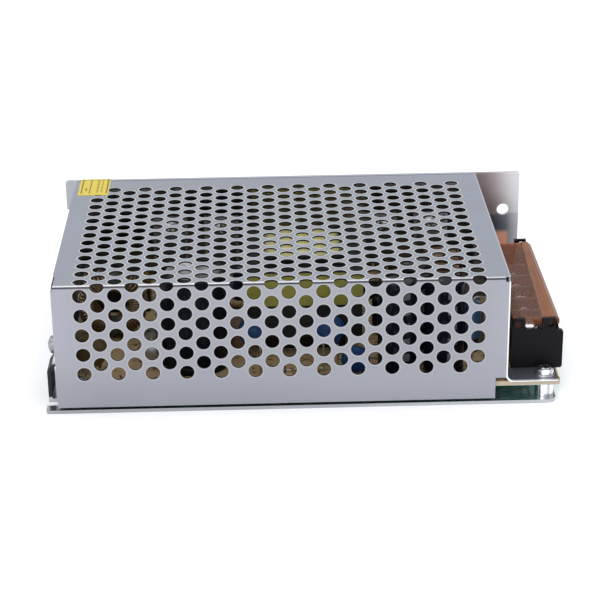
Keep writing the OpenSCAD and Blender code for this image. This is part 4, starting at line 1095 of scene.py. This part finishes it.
def lensPart(low, high):
    # A dipped disc: a superellipse profile turned about its own axis
    r, thick = (high - low)[:2] / 2
    turn = np.linspace(-np.pi / 2, np.pi / 2, 15)
    profile = np.stack([r * np.cos(turn) ** 0.6, thick * signedPower(np.sin(turn), 0.8)], -1)
    centre = np.array([*(low + high)[:2] / 2, high[2] - r])
    return revolve(profile, centre, (0, 1, 0), 36), centre, r


def makeDiscs():
    wires = []
    for node in ("disc_capacitors", "thermistor"):
        bodies = []
        for low, high in solids(node):
            body, centre, r = lensPart(low, high)
            bodies.append(body)
            for x in (centre[0] - r * 0.5, centre[0] + r * 0.5):
                line = np.linspace((x, centre[1], boardTop()), (x, centre[1], centre[2] - r * 0.5), 6)
                wires.append(tube(line, leads["radius"] * mm))
                # The coating is drawn a little way down each lead
                drip = (x, centre[1], centre[2] - 0.72 * r - 2 * mm)
                bodies.append(revolve(np.array(coatDrip) * mm, drip, sides=12))
        addPiece(node + "_dipped", bodies, mouldedPlastic(*dips[node]), [node])
    films = []
    for low, high in solids("film_capacitors"):
        x, y = (low + high)[:2] / 2
        for side in (-0.3, 0.3):
            place = y + side * (high - low)[1]
            wires.append(pin(x, place, leads["filmLength"] * mm, leads["radius"] * mm))
        films.append(pillow(low + (0, 0, 0.9 * mm), high, 5))
    brown = mouldedPlastic(*dips["film_capacitors"])
    addPiece("film_capacitors_dipped", films, brown, ["film_capacitors"])
    addPiece("lead_wires", wires, tinned, slot="bright_metal")


axials = dict(  # length of the body in mm, how much its middle is thinner, and its tones
    small_resistors=dict(length=6.4, waist=0.14, color=(0.58, 0.42, 0.24), bands=(
        (0.45, 0.09, 0.03), (0.03, 0.03, 0.03), (0.55, 0.25, 0.03), (0.6, 0.45, 0.12))),
    signal_diodes=dict(length=5.0, waist=0.0, color=(0.02, 0.02, 0.022), bands=(
        (0.6, 0.6, 0.62),)),
    power_resistors=dict(length=13.0, waist=0.1, color=(0.05, 0.145, 0.26), bands=(
        (0.45, 0.09, 0.03), (0.02, 0.02, 0.02), (0.5, 0.4, 0.1))),
)
standingHeight = 12  # mm, above which a resistor stands on end


def endRounding(s):
    # The outline's last fifth falls along an ellipse
    return np.sqrt(np.clip(1 - np.clip((np.abs(s) - 0.82) / 0.18, 0, 1) ** 2 * 0.75, 0, 1))


def lyingParts(low, high, length, waist):
    # A body of revolution along X with swollen ends, and leads bent down to the board
    x, y = (low + high)[:2] / 2
    r = (high - low)[1] / 2
    z = high[2] - r
    s = np.linspace(-1, 1, 25)
    swell = np.clip((np.abs(s) - 0.45) / 0.25, 0, 1)
    shape = (1 - waist * (1 - swell ** 2 * (3 - 2 * swell))) * endRounding(s)
    half = length / 2
    body = revolve([(0, -half), *np.stack([r * shape, s * half], -1), (0, half)], (x, y, z), (1, 0, 0), 24)
    span = (high - low)[0] / 2 - 0.35 * mm
    stops = [(x - span, y, low[2]), (x - span, y, z), (x + span, y, z), (x + span, y, low[2])]
    wire = tube(roundPath(stops, leads["bend"] * mm), leads["radius"] * mm, (0, 1, 0))
    return body, wire, (x, y, z), r


def standingParts(low, high, length):
    # The resistor on end: its body stands over one lead, and the other comes down beside it
    r = (high - low)[1] / 2
    x, y = low[0] + r, (low + high)[1] / 2
    top = high[2] - leads["radius"] * mm
    s = np.linspace(-1, 1, 25)
    profile = [(0, 0), *np.stack([r * endRounding(s), (s + 1) / 2 * length], -1), (0, length)]
    body = revolve(profile, (x, y, top - length - 1 * mm), sides=24)
    far = high[0] - leads["radius"] * mm
    stops = [(x, y, low[2]), (x, y, top), (far, y, top), (far, y, low[2])]
    return body, tube(roundPath(stops, leads["standingBend"] * mm), leads["radius"] * mm, (0, 1, 0))


def bandPlace(k, count, length):
    # Middle and width of a color band: one near an end, or a row whose fourth stands apart
    if count == 1:
        return length * 0.3, 0.8
    return length * (-0.34 + 0.17 * k + (0.17 if k == 3 else 0)), 0.5 * length / 6.4


def bandPart(centre, r, at, width):
    # A ring of rectangular section that stands a little out of the body
    inner, outer, start, end = r * 0.8, r * 1.012, at - width / 2, at + width / 2
    return revolve([(inner, start), (outer, start), (outer, end), (inner, end)], centre, (1, 0, 0), 24)


def makeAxials():
    for node, facts in axials.items():
        length, waist, colors = facts["length"], facts["waist"], facts["bands"]
        bodies, wires, bands = [], [], [[] for _ in colors]
        for low, high in solids(node):
            if high[2] - low[2] > standingHeight * mm:
                body, wire = standingParts(low, high, length * mm)
            else:
                body, wire, centre, r = lyingParts(low, high, length * mm, waist)
                for k, band in enumerate(bands):
                    at, width = bandPlace(k, len(colors), length)
                    neck = r if abs(at) > 0.3 * length else r * (1 - waist)
                    band.append(bandPart(centre, neck, at * mm, width * mm))
            bodies.append(body)
            wires.append(wire)
        lacquer = mouldedPlastic(node + "Lacquer", facts["color"], 0.34, 900, 0.1)
        addPiece(node + "_bodies", bodies, lacquer, [node])
        addPiece(node + "_leads", wires, tinned, slot="bright_metal")
        for k, (band, color) in enumerate(zip(bands, colors), 1):
            ink = mouldedPlastic(f"{node}Band{k}", color, 0.34)
            addPiece(f"{node}_band{k}", band, ink, slot=slotOf(node))


fuse = dict(wall=0.15, round=0.5, edgeWidth=0.05, glass=(0.92, 0.96, 0.96))  # in mm


def makeFuse():
    softCopy("fuse_clips", tinned, fuse["edgeWidth"])
    softCopy("fuse_glass", clearPlastic("fuseGlass", fuse["glass"], 0.03, 0.95, 1.47), fuse["edgeWidth"])
    glassLow, glassHigh = corners("fuse_glass")
    middle = (glassLow + glassHigh) / 2
    wall, rounding = fuse["wall"] * mm, fuse["round"] * mm
    caps = []
    for (low, high), outward in zip(solids("fuse_caps"), (-1, 1)):
        r, length = (high - low)[0] / 2, (high - low)[1]
        profile = [(r - wall, 0), (r, 0), (r, length - rounding), (r - wall, length - wall),
                   (r - rounding, length), (0, length), (0, length - rounding),
                   (r - wall, length - rounding - 0.1 * mm), (r - wall, 0)]
        start = high[1] if outward < 0 else low[1]
        caps.append(revolve(profile, (middle[0], start, middle[2]), (0, outward, 0), 36))
    addPiece("fuse_end_caps", caps, brightMetal("fusePlate"), ["fuse_caps"], sharp=35)


packages = dict(  # in mm
    bodyTop=14.0, tab=1.3, legs=4.95,
    body=((0.028, 0.028, 0.03), (0.05, 0.05, 0.052)), metal=(0.66, 0.66, 0.67),
    epoxy=(0.01, 0.01, 0.011),
)
filterBox = dict(
    dark=((0.013, 0.013, 0.015), (0.01, 0.01, 0.012)), printHeight=7.5,
    print=((0.36, 0.2, 0.06), (0.1, 0.055, 0.02)),
)


def packageFinish(name, node):
    # Moulded body in front of a plated tab: the tab is what stands above the body
    f = Finish(name)
    x, y, z, low, high = f.on(node)
    top, back, legs = low[2] + packages["bodyTop"], high[1] - packages["tab"], low[2] + packages["legs"]
    metal = z.step(top, top + 0.02).maximum(y.step(back - 0.02, back + 0.02), z.under(legs, legs + 0.05))
    grain = f.noise(2400, 3)
    base = f.mixColor(metal, f.mixColor(grain, *packages["body"]), packages["metal"])
    f.surface(base, 0.5 - metal * 0.24 + grain * 0.1, metal, f.bump(grain, 0.15, 0.00004))
    return f


def filterBoxFinish():
    # Dark moulded box whose near face carries a golden brown print above its middle
    f = Finish("filterBox")
    x, y, z, low, high = f.on("filter_capacitor")
    foot = high[2] - filterBox["printHeight"]
    near = y.under(low[1] + 0.3, low[1] + 0.6) * z.step(foot, foot + 0.5)
    grain = f.noise(900, 3)
    dark = f.mixColor(grain, *filterBox["dark"])
    brown = f.mixColor(f.noise(260, 3).step(0.35, 0.65), *filterBox["print"])
    f.surface(f.mixColor(near, dark, brown), 0.34 + grain * 0.14, 0.0, f.bump(grain, 0.12, 0.00004),
              Specular_IOR_Level=0.25)
    return f


def makePackages():
    epoxy = mouldedPlastic("blackEpoxy", packages["epoxy"], 0.48, 3000, 0.2, 0.25)
    softCopies({
        "switch_transistors": (packageFinish("switchPackage", "switch_transistors"), 0.12),
        "output_rectifiers": (packageFinish("rectifierPackage", "output_rectifiers"), 0.12),
        "bridge_rectifier": (epoxy, 0.25), "control_chip": (epoxy, 0.1),
        "filter_capacitor": (filterBoxFinish(), 0.5),
    })


for stage in (setCamera, setStudio, makeCase, makeTerminals, makeBoard, makeCapacitors, makeChokes,
              makeTransformers, makeDiscs, makeAxials, makeFuse, makePackages):
    stage()
    print(stage.__name__, "done")
